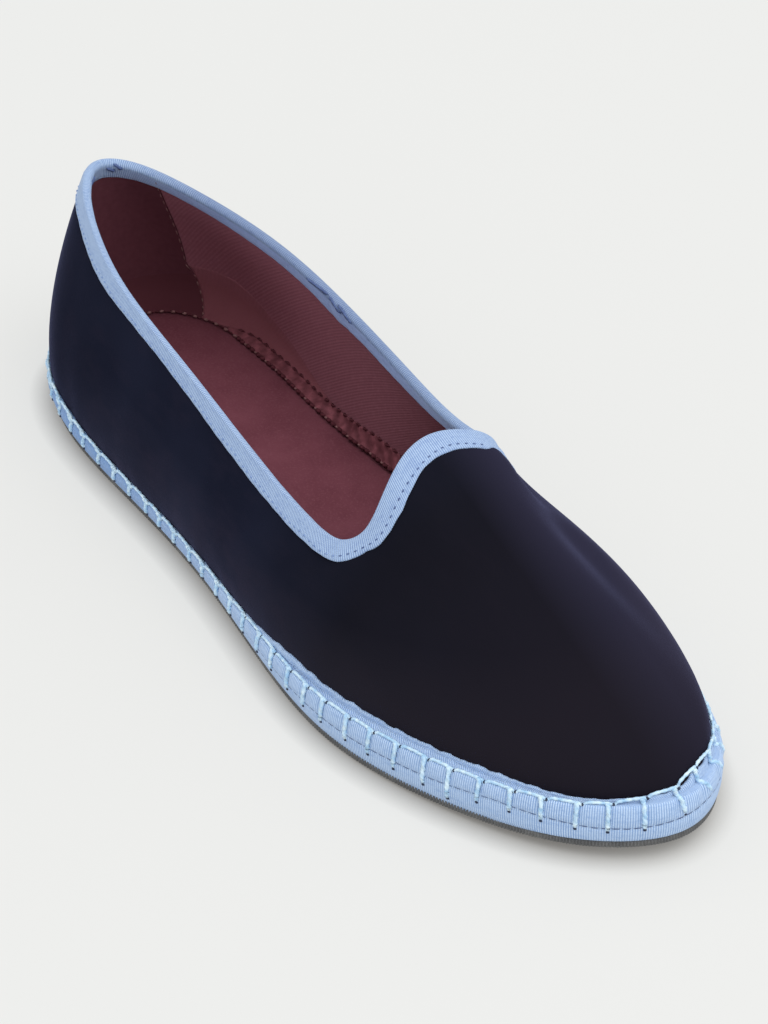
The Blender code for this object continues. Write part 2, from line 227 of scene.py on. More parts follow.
def climb_at_height(turn, height):
    """Climb of the point this high above the foot of each rib."""
    return climb_where(turn, height, RIB_HEIGHTS)


def climb_below_top(turn, distance):
    """Climb of the point this far below the topline, along each rib."""
    return climb_where(turn, -np.asarray(distance, float), -RIB_BELOW_TOP)


print("longest rib", round(RIB_BELOW_TOP.max(), 1), "mm")

# %% Lengths round the sole edge and the topline
LENGTH_SAMPLES = 4000
fine_turns = np.linspace(0.0, 1.0, LENGTH_SAMPLES + 1)


def running_length(points):
    run = np.linalg.norm(np.diff(points, axis=0), axis=1)
    return np.concatenate([[0.0], np.cumsum(run)])


EDGE_LENGTHS = running_length(sole_ring(fine_turns, SOLE_EDGE(fine_turns)[:, 2], 1.0))
TOP_LENGTHS = running_length(upper_point(fine_turns, np.ones_like(fine_turns)))


def edge_length(turn):
    return np.interp(turn, fine_turns, EDGE_LENGTHS)


def edge_turn(length):
    return np.interp(np.mod(length, EDGE_LENGTHS[-1]), EDGE_LENGTHS, fine_turns)


def top_length(turn):
    return np.interp(turn, fine_turns, TOP_LENGTHS)


def top_turn(length):
    return np.interp(np.mod(length, TOP_LENGTHS[-1]), TOP_LENGTHS, fine_turns)


print("round the sole", round(EDGE_LENGTHS[-1]), "mm, round the topline", round(TOP_LENGTHS[-1]), "mm")


# %% Short tables and soft bumps
def by_station(table, turn):
    """Value read along the sole edge from a short table of stations in millimetres and values."""
    return np.interp(edge_length(np.mod(turn, 1.0)), *np.array(table).T)


def by_turn(table, turn):
    """Value read round the topline from a short table of turns and values."""
    return np.interp(np.mod(turn, 1.0), *np.array(table).T)


def bell(distance, width):
    """Soft bump: 1 at no distance, fading away over a width."""
    return np.exp(-((distance / width) ** 2))


def waves(place, parts):
    """Sum of sine waves, each given by its height, its pace and its start."""
    return sum(height * np.sin(place * pace + start) for height, pace, start in parts)


print("half a width away a bump is", round(float(bell(0.5, 1.0)), 2), "of its height")

# %% [markdown]
# ## Tools for cloth and thread
# Cloth starts as a flat grid, as it does on the cutting table, and is carried onto the last. Its own
# length and width are kept as a UV map in millimetres, so that ribs and twill run with the cloth.
# Thread is the same grid rolled into a thin tube; two plies give it an oval section that twists. A
# bevelled curve could make a thread too, but not its twist or its closed, tapered ends.

# %% Helpers for cloth
SHOE_SHIFT = np.array([-124.4057, 2.64, 0.0])
GRID_HALF = 0.5
WELD = 1e-7
CLOTH_UV = "cloth"


def lay(verts, points):
    """Carries verts to points given in millimetres from the back of the heel."""
    for vert, point in zip(verts, (points + SHOE_SHIFT) * MM):
        vert.co = point


def cut_cloth(across, along, surface, lengths):
    """Grid carried to surface(turn, step). Its UV map is lengths(turn, step), or a plain size, in millimetres."""
    cloth = bmesh.new()
    uv_map = cloth.loops.layers.uv.new(CLOTH_UV)
    bmesh.ops.create_grid(cloth, x_segments=across, y_segments=along, size=GRID_HALF)
    verts = list(cloth.verts)
    turn = np.array([vert.co.x + GRID_HALF for vert in verts])
    step = np.array([vert.co.y + GRID_HALF for vert in verts])
    marks = np.column_stack(lengths(turn, step) if callable(lengths) else (turn * lengths[0], step * lengths[1]))
    cloth.verts.index_update()
    for face in cloth.faces:
        for loop in face.loops:
            loop[uv_map].uv = marks[loop.vert.index]
    lay(verts, surface(turn, step))
    bmesh.ops.remove_doubles(cloth, verts=cloth.verts[:], dist=WELD)
    return cloth


def add_piece(name, shape, finish, stands_for=(), wall=0.0, side=-1.0, closed=False):
    """Makes a bmesh an object on the shoe. A closed shape is turned right side out; an open one gets a wall."""
    if closed:
        bmesh.ops.recalc_face_normals(shape, faces=shape.faces[:])
    mesh = bpy.data.meshes.new(name)
    shape.to_mesh(mesh)
    shape.free()
    mesh.shade_smooth()
    mesh.materials.append(finish.material)
    piece = bpy.data.objects.new(name, mesh)
    bpy.context.scene.collection.objects.link(piece)
    if wall:
        thickness = piece.modifiers.new("thickness", "SOLIDIFY")
        thickness.thickness = wall * MM
        thickness.offset = side
        thickness.use_rim = True
    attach(piece, "root")
    if stands_for:
        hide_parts(*stands_for)
    print(name, len(mesh.polygons), "faces")


# %% Helper for thread
PLY_OVAL = 0.13
END_TAPER = 1.2
UPRIGHT, ASLANT, SLANT_SHARE = (0.0, 0.0, 1.0), (0.31, 0.17, 0.0), 0.05


def roll_thread(shape, path, radius, twist_every, sides=8, closed=False):
    """Adds a tube along a path of points in millimetres, tapered to closed ends unless it is a ring."""
    path = np.asarray(path, float)
    count = len(path)
    span = count if closed else count - 1
    made = bmesh.ops.create_grid(shape, x_segments=span, y_segments=sides, size=GRID_HALF)["verts"]
    column = np.rint([(vert.co.x + GRID_HALF) * span for vert in made]).astype(int)
    row = np.rint([(vert.co.y + GRID_HALF) * sides for vert in made]).astype(int)
    ends = np.vstack([path[-1:], path, path[:1]]) if closed else np.vstack([path[:1], path, path[-1:]])
    along = ends[2:] - ends[:-2]
    along /= np.linalg.norm(along, axis=1)[:, None]
    across = np.cross(along, UPRIGHT) + np.cross(along, ASLANT) * SLANT_SHARE
    across /= np.linalg.norm(across, axis=1)[:, None]
    upward = np.cross(across, along)
    length = running_length(path)
    thick = np.full(count, radius)
    if not closed:
        from_end = np.minimum(length, length[-1] - length) / (END_TAPER * radius)
        thick *= np.sqrt(np.clip(1 - (1 - np.clip(from_end, 0.0, 1.0)) ** 2, 0.0, 1.0))
    spot = column % count
    round_angle = 2 * np.pi * (row % sides) / sides
    angle = round_angle + 2 * np.pi * length[spot] / twist_every
    size = thick[spot] * (1 + PLY_OVAL * np.cos(2 * round_angle))
    offset = across[spot] * (np.cos(angle) * size)[:, None] + upward[spot] * (np.sin(angle) * size)[:, None]
    lay(made, path[spot] + offset)
    bmesh.ops.remove_doubles(shape, verts=made, dist=WELD)


print("tools for cloth and thread ready")

# %% [markdown]
# ## Finishes
# Each finish is a Principled shader with a little cloth science in front of it: a wave for ribs or
# twill, noise for fibres and wear, and a bump that reads the same pattern as the colour. Pictures of
# cloth could be wrapped on instead, but nodes stay sharp at any distance and carry no light of their
# own. A small class keeps the material and gives each of these nodes a short word.

# %% Helper for finishes
WAVE_PERIOD = 2 * np.pi / 20


class Finish:
    """A material with one Principled shader, and short words for the nodes in front of it."""

    def __init__(self, name, colour, roughness, **sockets):
        self.material = bpy.data.materials.new(name)
        self.material.use_nodes = True
        self.material.diffuse_color = (*colour, 1.0)
        self.tree = self.material.node_tree
        self.shader = self.tree.nodes["Principled BSDF"].inputs
        self.shader["Base Color"].default_value = (*colour, 1.0)
        self.shader["Roughness"].default_value = roughness
        for socket, value in sockets.items():
            self.shader[socket.replace("_", " ")].default_value = value

    def feed(self, socket, value):
        """Links the output of another node to a socket, or sets a plain value on it."""
        if isinstance(value, bpy.types.NodeSocket):
            self.tree.links.new(value, socket)
        else:
            socket.default_value = value

    def node(self, kind, settings=(), **inputs):
        made = self.tree.nodes.new("ShaderNode" + kind)
        for key, value in dict(settings).items():
            setattr(made, key, value)
        for key, value in inputs.items():
            self.feed(made.inputs[key.replace("_", " ")], value)
        return made

    def on_object(self):
        return self.node("TexCoord").outputs["Object"]

    def on_cloth(self):
        return self.node("UVMap", {"uv_map": CLOTH_UV}).outputs["UV"]

    def axes(self, place):
        return self.node("SeparateXYZ", Vector=place).outputs

    def stretch(self, place, scale):
        return self.node("Mapping", Vector=place, Scale=scale).outputs["Vector"]

    def noise(self, place, scale, detail=2.0, roughness=0.5):
        made = self.node("TexNoise", Vector=place, Scale=scale, Detail=detail, Roughness=roughness)
        return made.outputs["Fac"]

    def ribs(self, place, pitch, direction="X", wander=0.0):
        """Wave that repeats every pitch along one direction of a UV map in millimetres."""
        made = self.node("TexWave", {"bands_direction": direction}, Vector=place, Scale=WAVE_PERIOD / pitch)
        self.feed(made.inputs["Distortion"], wander)
        self.feed(made.inputs["Detail"], 1.0)
        return made.outputs["Fac"]

    def spread(self, value, low, high):
        """Value stretched so that low becomes 0 and high becomes 1."""
        return self.node("MapRange", Value=value, From_Min=low, From_Max=high).outputs["Result"]

    def combine(self, kind, first, second):
        made = self.node("Math", {"operation": kind})
        for socket, value in zip(made.inputs, (first, second)):
            self.feed(socket, value)
        return made.outputs["Value"]

    def times(self, first, second):
        return self.combine("MULTIPLY", first, second)

    def blend(self, share, first, second, kind="MIX"):
        """Colour that goes from first to second, or is multiplied by it, as share goes from 0 to 1."""
        made = self.node("Mix", {"data_type": "RGBA", "blend_type": kind})
        self.feed(made.inputs["Factor"], share)
        for socket, colour in zip([s for s in made.inputs if s.type == "RGBA"], (first, second)):
            self.feed(socket, (*colour, 1.0) if isinstance(colour, tuple) else colour)
        return next(s for s in made.outputs if s.type == "RGBA")

    def paint(self, colour):
        self.feed(self.shader["Base Color"], colour)

    def bump(self, height, depth, strength):
        made = self.node("Bump", Height=height, Distance=depth * MM, Strength=strength)
        self.feed(self.shader["Normal"], made.outputs["Normal"])


print("finish helpers ready")

# %% [markdown]
# ## Where the stitches go
# The sole is closed by a blanket stitch: a thread along the upper edge of the band, and a leg down
# the band at every post. The posts are about 8 mm apart all the way round, never quite evenly, as a
# hand sews them. They come first, because the ribbon and the velvet are drawn in at each post.

# %% Posts of the blanket stitch
POSTS, FIRST_POST, POST_WANDER = 72, 7.7, 0.55
POST_WAVES = ((0.6, 2.4, 0.0), (0.4, 5.1, 1.0))
post_order = np.arange(POSTS)
post_wander = POST_WANDER * waves(post_order, POST_WAVES)
POST_LENGTHS = FIRST_POST + post_order * EDGE_LENGTHS[-1] / POSTS + post_wander
POST_TURNS = edge_turn(POST_LENGTHS)


def near_post(turn, width):
    """Soft bump along the edge at each post."""
    gap = np.abs(edge_length(np.mod(turn, 1.0))[:, None] - POST_LENGTHS[None, :])
    return bell(np.minimum(gap, EDGE_LENGTHS[-1] - gap).min(axis=1), width)


print("posts:", POSTS, "pitch", round(EDGE_LENGTHS[-1] / POSTS, 2), "mm")

# %% [markdown]
# ## Velvet
# Velvet is nearly black where one looks into the pile and pale where one looks across it. Hair could
# be grown for the pile, but it is heavy and isn't part of the mesh; the sheen of the Principled shader
# does the same from afar. Brushed patches are slow noise, and a very fine noise is the pile. The cloth
# is darkest on the vamp. Its lighter toe and paler foot are painted light, the lighter inner flank is a
# painted sheen, and the darker heel is painted shade.

# %% Navy velvet
velvet = Finish(
    "navy_velvet", (0.0085, 0.0072, 0.0122), 0.85,
    Specular_IOR_Level=0.0, Sheen_Weight=0.25, Sheen_Roughness=0.26, Sheen_Tint=(0.44, 0.47, 0.86, 1.0),
)
place = velvet.on_object()
along, across = velvet.axes(place)[:2]
up = velvet.axes(velvet.on_cloth())["Y"]
patches = velvet.spread(velvet.noise(place, 26.0, 3.0), 0.35, 0.68)
tone = velvet.blend(patches, (0.0083, 0.0095, 0.0192), (0.0128, 0.0147, 0.029))
brushed = velvet.stretch(place, (90.0, 260.0, 160.0))
marks = velvet.spread(velvet.noise(brushed, 1.0, 3.0, 0.6), 0.45, 0.75)
tone = velvet.blend(velvet.times(marks, 0.35), tone, (0.018, 0.016, 0.029))
dark_vamp = velvet.times(velvet.spread(along, 0.0, 0.045), 0.75)
tone = velvet.blend(dark_vamp, tone, (0.0068, 0.0064, 0.0086))
# painted light: the toe, which faces up into the light, is painted lighter
painted_light_toe = velvet.times(velvet.spread(along, 0.04, 0.1), 0.85)
tone = velvet.blend(painted_light_toe, tone, (0.0112, 0.0097, 0.0146))
# painted sheen: the inner flank is painted lighter in place of the broad sheen of the pile there
painted_sheen_flank = velvet.times(velvet.spread(across, 0.002, 0.017), velvet.spread(along, 0.15, 0.06))
tone = velvet.blend(painted_sheen_flank, tone, (0.0225, 0.0212, 0.0398))
# painted light: the velvet is painted paler along its foot, between heel and toe
between_ends = velvet.times(velvet.spread(along, -0.095, -0.06), velvet.spread(along, 0.13, 0.05))
painted_light_foot = velvet.times(velvet.spread(up, 34.0, 4.0), between_ends)
tone = velvet.blend(painted_light_foot, tone, (2.15, 1.95, 1.75), "MULTIPLY")
# painted shade: the heel is painted darker, taking back part of the sheen there
painted_shade_heel = velvet.spread(along, -0.06, -0.095)
velvet.paint(velvet.blend(painted_shade_heel, tone, (0.75, 0.75, 0.75), "MULTIPLY"))
velvet.bump(velvet.noise(place, 2400.0, 2.0, 0.7), 0.25, 0.35)
print("finish:", velvet.material.name)

# %% [markdown]
# The velvet is one cloth drawn over the last, from just below the ribbon to the topline. Where the
# stitches pull it in, its lower edge is lightly puckered. A few soft creases are given one by one: each
# is a trough or a ridge along a line between two points on the shoe, with a width and a depth. A cloth
# simulation would crease it by chance, and a stiffened upper has its few creases in known places.

# %% Creases of the upper
Crease = namedtuple("Crease", "start end width depth")
CREASES = [
    Crease((150.0, -32.0, 33.0), (178.0, -36.0, 22.0), 6.0, -0.45),
    Crease((162.0, -29.0, 38.0), (192.0, -30.0, 25.0), 7.0, 0.30),
    Crease((96.0, -29.0, 36.0), (112.0, -35.0, 14.0), 6.0, -0.40),
    Crease((62.0, -30.0, 38.0), (74.0, -35.0, 14.0), 8.0, 0.35),
    Crease((24.0, -26.0, 40.0), (34.0, -33.0, 15.0), 7.0, -0.35),
    Crease((98.0, 26.0, 34.0), (116.0, 26.0, 14.0), 6.0, -0.45),
    Crease((52.0, 28.0, 38.0), (60.0, 30.0, 14.0), 8.0, 0.35),
    Crease((158.0, 0.0, 57.0), (200.0, 2.0, 40.0), 10.0, 0.25),
    Crease((160.0, 17.0, 50.0), (174.0, 22.5, 42.0), 6.0, 0.85),
]


def crease_lift(points):
    """Height in millimetres that the creases add at each point."""
    lift = np.zeros(len(points))
    for crease in CREASES:
        start, run = np.array(crease.start), np.array(crease.end) - np.array(crease.start)
        share = np.clip((points - start) @ run / (run @ run), 0.0, 1.0)
        away = np.linalg.norm(points - start - share[:, None] * run, axis=1)
        lift += crease.depth * bell(away, crease.width)
    return lift


print("creases:", len(CREASES))

# %% Velvet upper
VELVET_ACROSS, VELVET_ALONG = 432, 64
VELVET_WALL, VELVET_TUCK, TUCK_SHARE, VELVET_LENGTH = 0.8, 1.6, 0.03, 60.0
PUCKER, PUCKER_WIDTH, PUCKER_REACH = 0.22, 1.8, 3.0
CUT_EDGE = 1.2
UNDER_BINDING = (0.93, 0.99)


def velvet_surface(turn, step):
    climb = np.clip((step - TUCK_SHARE) / (1 - TUCK_SHARE), 0.0, 1.0) * climb_below_top(turn, CUT_EDGE)
    points = upper_point(turn, climb)
    height = points[:, 2] - upper_point(turn, np.zeros_like(turn))[:, 2]
    drawn_in = near_post(turn, PUCKER_WIDTH) * np.exp(-height / PUCKER_REACH)
    lift = (crease_lift(points) - PUCKER * drawn_in) * (1 - smooth_step(*UNDER_BINDING, climb))
    points = points + upper_normal(turn, climb) * lift[:, None]
    points[:, 2] -= np.clip(1 - step / TUCK_SHARE, 0.0, 1.0) * VELVET_TUCK
    return points


upper_cloth = cut_cloth(
    VELVET_ACROSS, VELVET_ALONG, velvet_surface, lambda turn, step: (edge_length(turn), step * VELVET_LENGTH)
)
add_piece("velvet_upper", upper_cloth, velvet, ["upper"], wall=VELVET_WALL)

# %% [markdown]
# ## The inside
# The quarters are lined with a fine burgundy twill. A smoother, darker piece lines the heel; its
# front edge is sewn down in a slanting seam. Both are sheets laid on the inner face of the upper. One
# sheet in two colours would be less work, but the heel piece has to stand proud to show its edge.

# %% Twill and heel lining finishes
COVE_LENGTH, COVE_SHADE = 10.0, 3.0


def paint_cove_tone(finish, colour, deep):
    """Colour that turns to one fixed tone where the cloth runs on below the wall, at lengths under zero: painted
    light and shade that even out the cove.
    """
    up = finish.axes(finish.on_cloth())["Y"]
    return finish.blend(finish.spread(up, COVE_SHADE, -COVE_SHADE), colour, deep)


twill = Finish("burgundy_twill", (0.07, 0.023, 0.029), 0.85, Specular_IOR_Level=0.25)
lines = twill.ribs(twill.on_cloth(), 0.62, "DIAGONAL", 0.4)
fibre = twill.noise(twill.on_object(), 900.0, 3.0)
# painted light and shade: the lining is painted darker towards the front and paler towards the heel
shade_front_light_heel = twill.spread(twill.axes(twill.on_object())["X"], 0.02, -0.07)
tone = twill.blend(shade_front_light_heel, (0.088, 0.0235, 0.031), (0.318, 0.117, 0.152))
tone = twill.blend(twill.times(lines, 0.3), tone, (0.5, 0.5, 0.5), "MULTIPLY")
tone = twill.blend(twill.spread(fibre, 0.45, 0.8), tone, (1.15, 1.2, 1.2), "MULTIPLY")
twill.paint(paint_cove_tone(twill, tone, (0.205, 0.0625, 0.078)))
twill.bump(twill.combine("ADD", lines, fibre), 0.06, 0.5)

heel_satin = Finish("dark_heel_lining", (0.09, 0.027, 0.036), 0.8, Specular_IOR_Level=0.08)
grain = heel_satin.noise(heel_satin.on_object(), 700.0, 3.0)
tone = heel_satin.blend(grain, (0.096, 0.03, 0.041), (0.136, 0.044, 0.059))
heel_satin.paint(paint_cove_tone(heel_satin, tone, (0.092, 0.026, 0.035)))
heel_satin.bump(grain, 0.08, 0.4)
print("finishes:", twill.material.name, heel_satin.material.name)

# %% Side lining
LINING_ACROSS, LINING_ALONG = 264, 34
LINING_WALL, LINING_FOOT, LINING_LENGTH = 0.5, 1.5, 45.0
SKIVE, SKIVED_FROM = 0.4, (0.7, 0.88)
# Turns round the topline, and how much thinner and lower the collar's edge is there
SLIM_EDGE = [
    (0.0, 0.0), (0.045, 0.0), (0.06, 0.6), (0.08, 1.0), (0.22, 1.0), (0.26, 0.8), (0.3, 0.15), (0.32, 0.25),
    (0.345, 0.95), (0.385, 0.95), (0.42, 0.5), (0.5, 0.35), (0.54, 0.6), (0.57, 0.0), (1.0, 0.0),
]


def lining_surface(turn, step):
    low = climb_at_height(turn, LINING_FOOT)
    climb = low + (climb_below_top(turn, CUT_EDGE) - low) * step
    skived = SKIVE * by_turn(SLIM_EDGE, turn) * smooth_step(*SKIVED_FROM, climb)
    return off_upper(turn, climb, skived - UPPER_WALL)


side_cloth = cut_cloth(
    LINING_ACROSS, LINING_ALONG, lining_surface, lambda turn, step: (edge_length(turn), step * LINING_LENGTH)
)
add_piece("side_lining", side_cloth, twill, wall=LINING_WALL, side=1.0)

# %% Heel lining with its slanting seam
HEEL_ACROSS, HEEL_ALONG = 72, 34
HEEL_PROUD, HEEL_WALL, HEEL_WIDTH = 0.4, 0.35, 60.0
# Steps up the seam, and the turns at which it runs on the inner and the outer side
SEAM_STEPS, INNER_SEAM, OUTER_SEAM = (0.0, 0.25, 1.0), (0.94, 0.9532, 0.941), (0.062, 0.0508, 0.057)


def heel_turn(across, step):
    start, end = np.interp(step, SEAM_STEPS, INNER_SEAM) - 1.0, np.interp(step, SEAM_STEPS, OUTER_SEAM)
    return start + (end - start) * across


def heel_lining_surface(across, step):
    turn = heel_turn(across, step)
    low = climb_at_height(turn, LINING_FOOT)
    return off_upper(turn, low + (1 - low) * step, -UPPER_WALL - HEEL_PROUD)


heel_cloth = cut_cloth(HEEL_ACROSS, HEEL_ALONG, heel_lining_surface, (HEEL_WIDTH, LINING_LENGTH))
add_piece("heel_lining", heel_cloth, heel_satin, wall=HEEL_WALL, side=1.0)

# %% [markdown]
# ## The insole
# The sock of the insole is a soft burgundy cloth. It is laid out by stations along the foot, each
# from the outer to the inner edge, so that a shallow sewn groove can follow its outline. A single
# filled face would have no points inside it to sink.

# %% Insole cloth finish
insole_cloth = Finish("burgundy_insole", (0.15, 0.041, 0.058), 0.88, Specular_IOR_Level=0.2)
place = insole_cloth.on_object()
nap = insole_cloth.spread(insole_cloth.noise(place, 60.0, 4.0, 0.6), 0.3, 0.72)
fibre = insole_cloth.noise(place, 1500.0, 3.0, 0.65)
tone = insole_cloth.blend(nap, (0.122, 0.031, 0.045), (0.172, 0.05, 0.069))
worn = insole_cloth.times(insole_cloth.spread(fibre, 0.5, 0.8), 0.4)
insole_cloth.paint(insole_cloth.blend(worn, tone, (0.23, 0.085, 0.105)))
insole_cloth.bump(fibre, 0.12, 0.55)
print("finish:", insole_cloth.material.name)

# %% Places beside the wall
INSOLE_THICKNESS = 2.4
WALL_CLIMB, WALL_FILLET, WALL_CLEAR = 1.28, 1.2, 0.2
# Stations along the sole edge, and how far the sewn row lies from the foot of the wall
SEWN_ROW = [
    (0.0, 7.6), (14.0, 8.2), (45.0, 8.6), (65.0, 7.0), (90.0, 4.0), (130.0, 2.5), (250.0, 3.5), (400.0, 2.0),
    (452.0, 0.3), (461.0, 0.4), (476.0, 2.4), (490.0, 4.5), (502.0, 5.8), (513.0, 7.4), (522.0, 8.4), (545.0, 9.0),
    (560.0, 8.0), (575.4, 7.6),
]


def insole_height(x):
    band = OUTSOLE_THICKNESS + GAP + band_height(x)
    return ground(x) + band + GAP + INSOLE_THICKNESS


def beside_wall(turn, inset):
    """Points on the insole at an inset from the wall's foot. Below zero they climb the wall, round a fillet."""
    rounded = np.hypot(inset, WALL_FILLET)
    off, up = (rounded + inset) / 2, (rounded - inset) / 2 * WALL_CLIMB
    climb = climb_at_height(turn, INSOLE_THICKNESS + up)
    normal = upper_normal(turn, climb)
    points = upper_point(turn, climb) - normal * (UPPER_WALL + WALL_CLEAR)
    normal[:, 2] = 0.0
    points -= normal * (off / np.linalg.norm(normal, axis=1))[:, None]
    points[:, 2] = insole_height(points[:, 0]) + up
    return points


sewn_turns = edge_turn(np.arange(0.0, EDGE_LENGTHS[-1], 2.0))
sewn_line = beside_wall(sewn_turns, by_station(SEWN_ROW, sewn_turns))
print("points on the sewn line:", len(sewn_line))


# %% Insole
def fill_outline(line, along, across):
    """x and y inside a closed outline: along goes from back to front, across from the outer to the inner side."""
    back, front, count = line[:, 0].argmin(), line[:, 0].argmax(), len(line)
    outer_side = np.roll(line, -back, axis=0)[: (front - back) % count + 1]
    inner_side = np.roll(line, -front, axis=0)[: (back - front) % count + 1][::-1]
    x = line[:, 0].min() + np.ptp(line[:, 0]) * (0.5 - 0.5 * np.cos(np.pi * along))
    outer, inner = (np.interp(x, side[:, 0], side[:, 1]) for side in (outer_side, inner_side))
    return x, outer + (inner - outer) * across


def away_from(line, points):
    """Distance from each point to a line of points, seen from above."""
    return np.linalg.norm(points[:, None, :2] - line[None, :, :2], axis=2).min(axis=1)


INSOLE_ALONG, INSOLE_ACROSS, INSOLE_SIZE, INSOLE_WALL = 150, 56, (245.0, 70.0), 1.6
INSOLE_TUCK, OUTLINE_POINTS = 0.3, 720
GROOVE_WIDTH, GROOVE_DEPTH = 0.9, 0.45
EDGE_DIP, EDGE_DIP_REACH = 0.5, 0.6
outline_turns = np.linspace(0.0, 1.0, OUTLINE_POINTS + 1)[:-1]
outline = off_upper(outline_turns, climb_at_height(outline_turns, INSOLE_THICKNESS), INSOLE_TUCK - UPPER_WALL)


def insole_surface(along, across):
    x, y = fill_outline(outline, along, across)
    points = np.column_stack([x, y, insole_height(x)])
    groove = GROOVE_DEPTH * bell(away_from(sewn_line, points), GROOVE_WIDTH)
    points[:, 2] -= groove + EDGE_DIP * np.exp(-away_from(outline[::2], points) / EDGE_DIP_REACH)
    return points


sock = cut_cloth(INSOLE_ALONG, INSOLE_ACROSS, insole_surface, INSOLE_SIZE)
bmesh.ops.dissolve_degenerate(sock, dist=WELD, edges=sock.edges[:])
add_piece("insole_sock", sock, insole_cloth, ["insole"], wall=INSOLE_WALL)

# %% [markdown]
# ## The ribbon round the sole
# A ribbed ribbon is wrapped round the edge of the sole. Its lower part lies flat on the side, and its
# upper edge turns over the top of the sole onto the velvet. At the outer forefoot that turned edge is
# wide and ruffled. At the inner heel it climbs higher. Between the stitches the ribbon swells a little.
# A profile swept along a curve would be alike all the way round, so each row of this section reads its
# own place from a short table.

# %% Ribbon finish
RIB_PITCH, WEFT_PITCH = 0.58, 0.45


def ribbon_finish(name, colour, dark, pale, rear_shade=0.0, far=False):
    """Grosgrain: fine ribs across the ribbon, uneven in tone, with a soft sheen. Painted shade darkens it
    towards the heel; on the far binding, painted light lifts the inside face.
    """
    made = Finish(
        name, colour, 0.62, Specular_IOR_Level=0.35, Sheen_Weight=0.12, Sheen_Tint=(0.8, 0.9, 1.0, 1.0)
    )
    cloth, place = made.on_cloth(), made.on_object()
    along, beside = made.axes(place)[:2]
    waves = made.ribs(cloth, RIB_PITCH, "X", 0.35)
    weft = made.ribs(cloth, WEFT_PITCH, "Y", 0.6)
    tone = made.blend(made.spread(waves, 0.05, 0.75), dark, pale)
    slow = made.spread(made.noise(place, 70.0, 3.0), 0.3, 0.7)
    tone = made.blend(made.times(slow, 0.45), tone, colour)
    faded = made.spread(made.noise(made.stretch(cloth, (0.16, 0.9, 1.0)), 1.0, 3.0, 0.6), 0.5, 0.75)
    tone = made.blend(made.times(faded, 0.4), tone, dark)
    fibre = made.spread(made.noise(place, 1100.0, 3.0, 0.6), 0.52, 0.75)
    tone = made.blend(made.times(fibre, 0.5), tone, dark)
    # painted shade: the ribbon is painted darker towards the heel
    tone = made.blend(made.times(made.spread(along, 0.0, -0.07), rear_shade), tone, dark)
    if far:
        inner_side = made.times(made.spread(beside, 0.006, 0.02), made.spread(along, 0.03, -0.03))
        tone = made.blend(inner_side, tone, (0.62, 0.62, 0.68), "MULTIPLY")
        # painted light: the binding's inside face on the inner side is painted about twice as light, cancelling its
        # shade
        inside = made.spread(made.axes(cloth)["Y"], 10.6, 11.6)
        tone = made.blend(made.times(inside, inner_side), tone, (2.0, 2.05, 2.1), "MULTIPLY")
    made.paint(tone)
    made.bump(made.combine("ADD", waves, made.times(weft, 0.3)), 0.14, 0.7)
    return made


sole_ribbon = ribbon_finish("sole_ribbon", (0.41, 0.55, 0.78), (0.18, 0.32, 0.60), (0.53, 0.68, 0.90), rear_shade=0.9)
print("finish:", sole_ribbon.material.name)

# %% Section of the sole ribbon
Profile = namedtuple("Profile", "out share")
SIDE_PROFILE = [
    Profile(*row)
    for row in (
        (-7.0, 0.0), (-0.8, 0.0), (-0.15, 0.03), (0.1, 0.09), (0.32, 0.18), (0.5, 0.27), (0.58, 0.33), (0.59, 0.37),
        (0.6, 0.41), (0.6, 0.5), (0.58, 0.6), (0.5, 0.7), (0.36, 0.8), (0.12, 0.9), (-0.2, 0.98), (-0.55, 1.02),
    )
]
SEAM_ROW, EDGE_ROW = 7, len(SIDE_PROFILE) - 1
LIP_END_ROW = EDGE_ROW + 4
SEAM_FROM, SEAM_REACH, HEM_REACH = SIDE_PROFILE[SEAM_ROW].share, 0.9, 0.2
PROFILE_OUTS, PROFILE_SHARES = np.array(SIDE_PROFILE[1:]).T
# The turned edge, row by row: share of its rise, height added to that, and how far it stands off the velvet
LIP_ROWS = ((0.0, 0.0, 0.55), (0.5, 0.0, 0.5), (1.0, 0.0, 0.45), (1.0, 0.12, 0.1), (1.0, -0.2, -0.5))
TUCKED_UNDER = (-7.0, 0.6)
# Stations along the sole edge, and the share of the band's height where the seam runs
SEAM_LEVEL = [
    (0.0, 0.5), (200.0, 0.52), (227.0, 0.57), (235.0, 0.62), (243.0, 0.66), (251.0, 0.6), (259.0, 0.54),
    (268.0, 0.45), (276.0, 0.43), (282.0, 0.46), (287.0, 0.5), (295.0, 0.56), (304.0, 0.55), (330.0, 0.45),
    (440.0, 0.38), (575.4, 0.5),
]
# The same stations, and how far the ribbon's hem hangs over the outsole, as a share of the band's height
HEM_DROP = [(0.0, 0.03), (70.0, 0.05), (110.0, 0.08), (235.0, 0.08), (264.0, 0.0), (575.4, 0.0)]
# The same stations, and how high the ribbon climbs the velvet
LIP_RISE = [
    (0.0, 2.2), (30.0, 2.0), (54.0, 1.4), (66.0, 0.4), (80.0, 0.0), (148.0, 0.1), (156.0, 0.9), (163.0, 1.5),
    (171.0, 2.4), (178.0, 2.4), (188.0, 1.6), (197.0, 1.5), (213.0, 0.9), (228.0, 0.9), (239.0, 1.3), (249.0, 0.9),
    (262.0, 0.1), (269.0, 0.2), (278.0, 0.9), (284.0, 1.4), (288.0, 1.6), (291.0, 2.4), (295.5, 3.4), (303.0, 2.9),
    (312.0, 2.0), (322.0, 0.9), (335.0, 0.3), (508.0, 0.2), (521.0, 2.0), (532.0, 2.6), (548.0, 3.4), (560.0, 3.0),
    (575.4, 2.2),
]
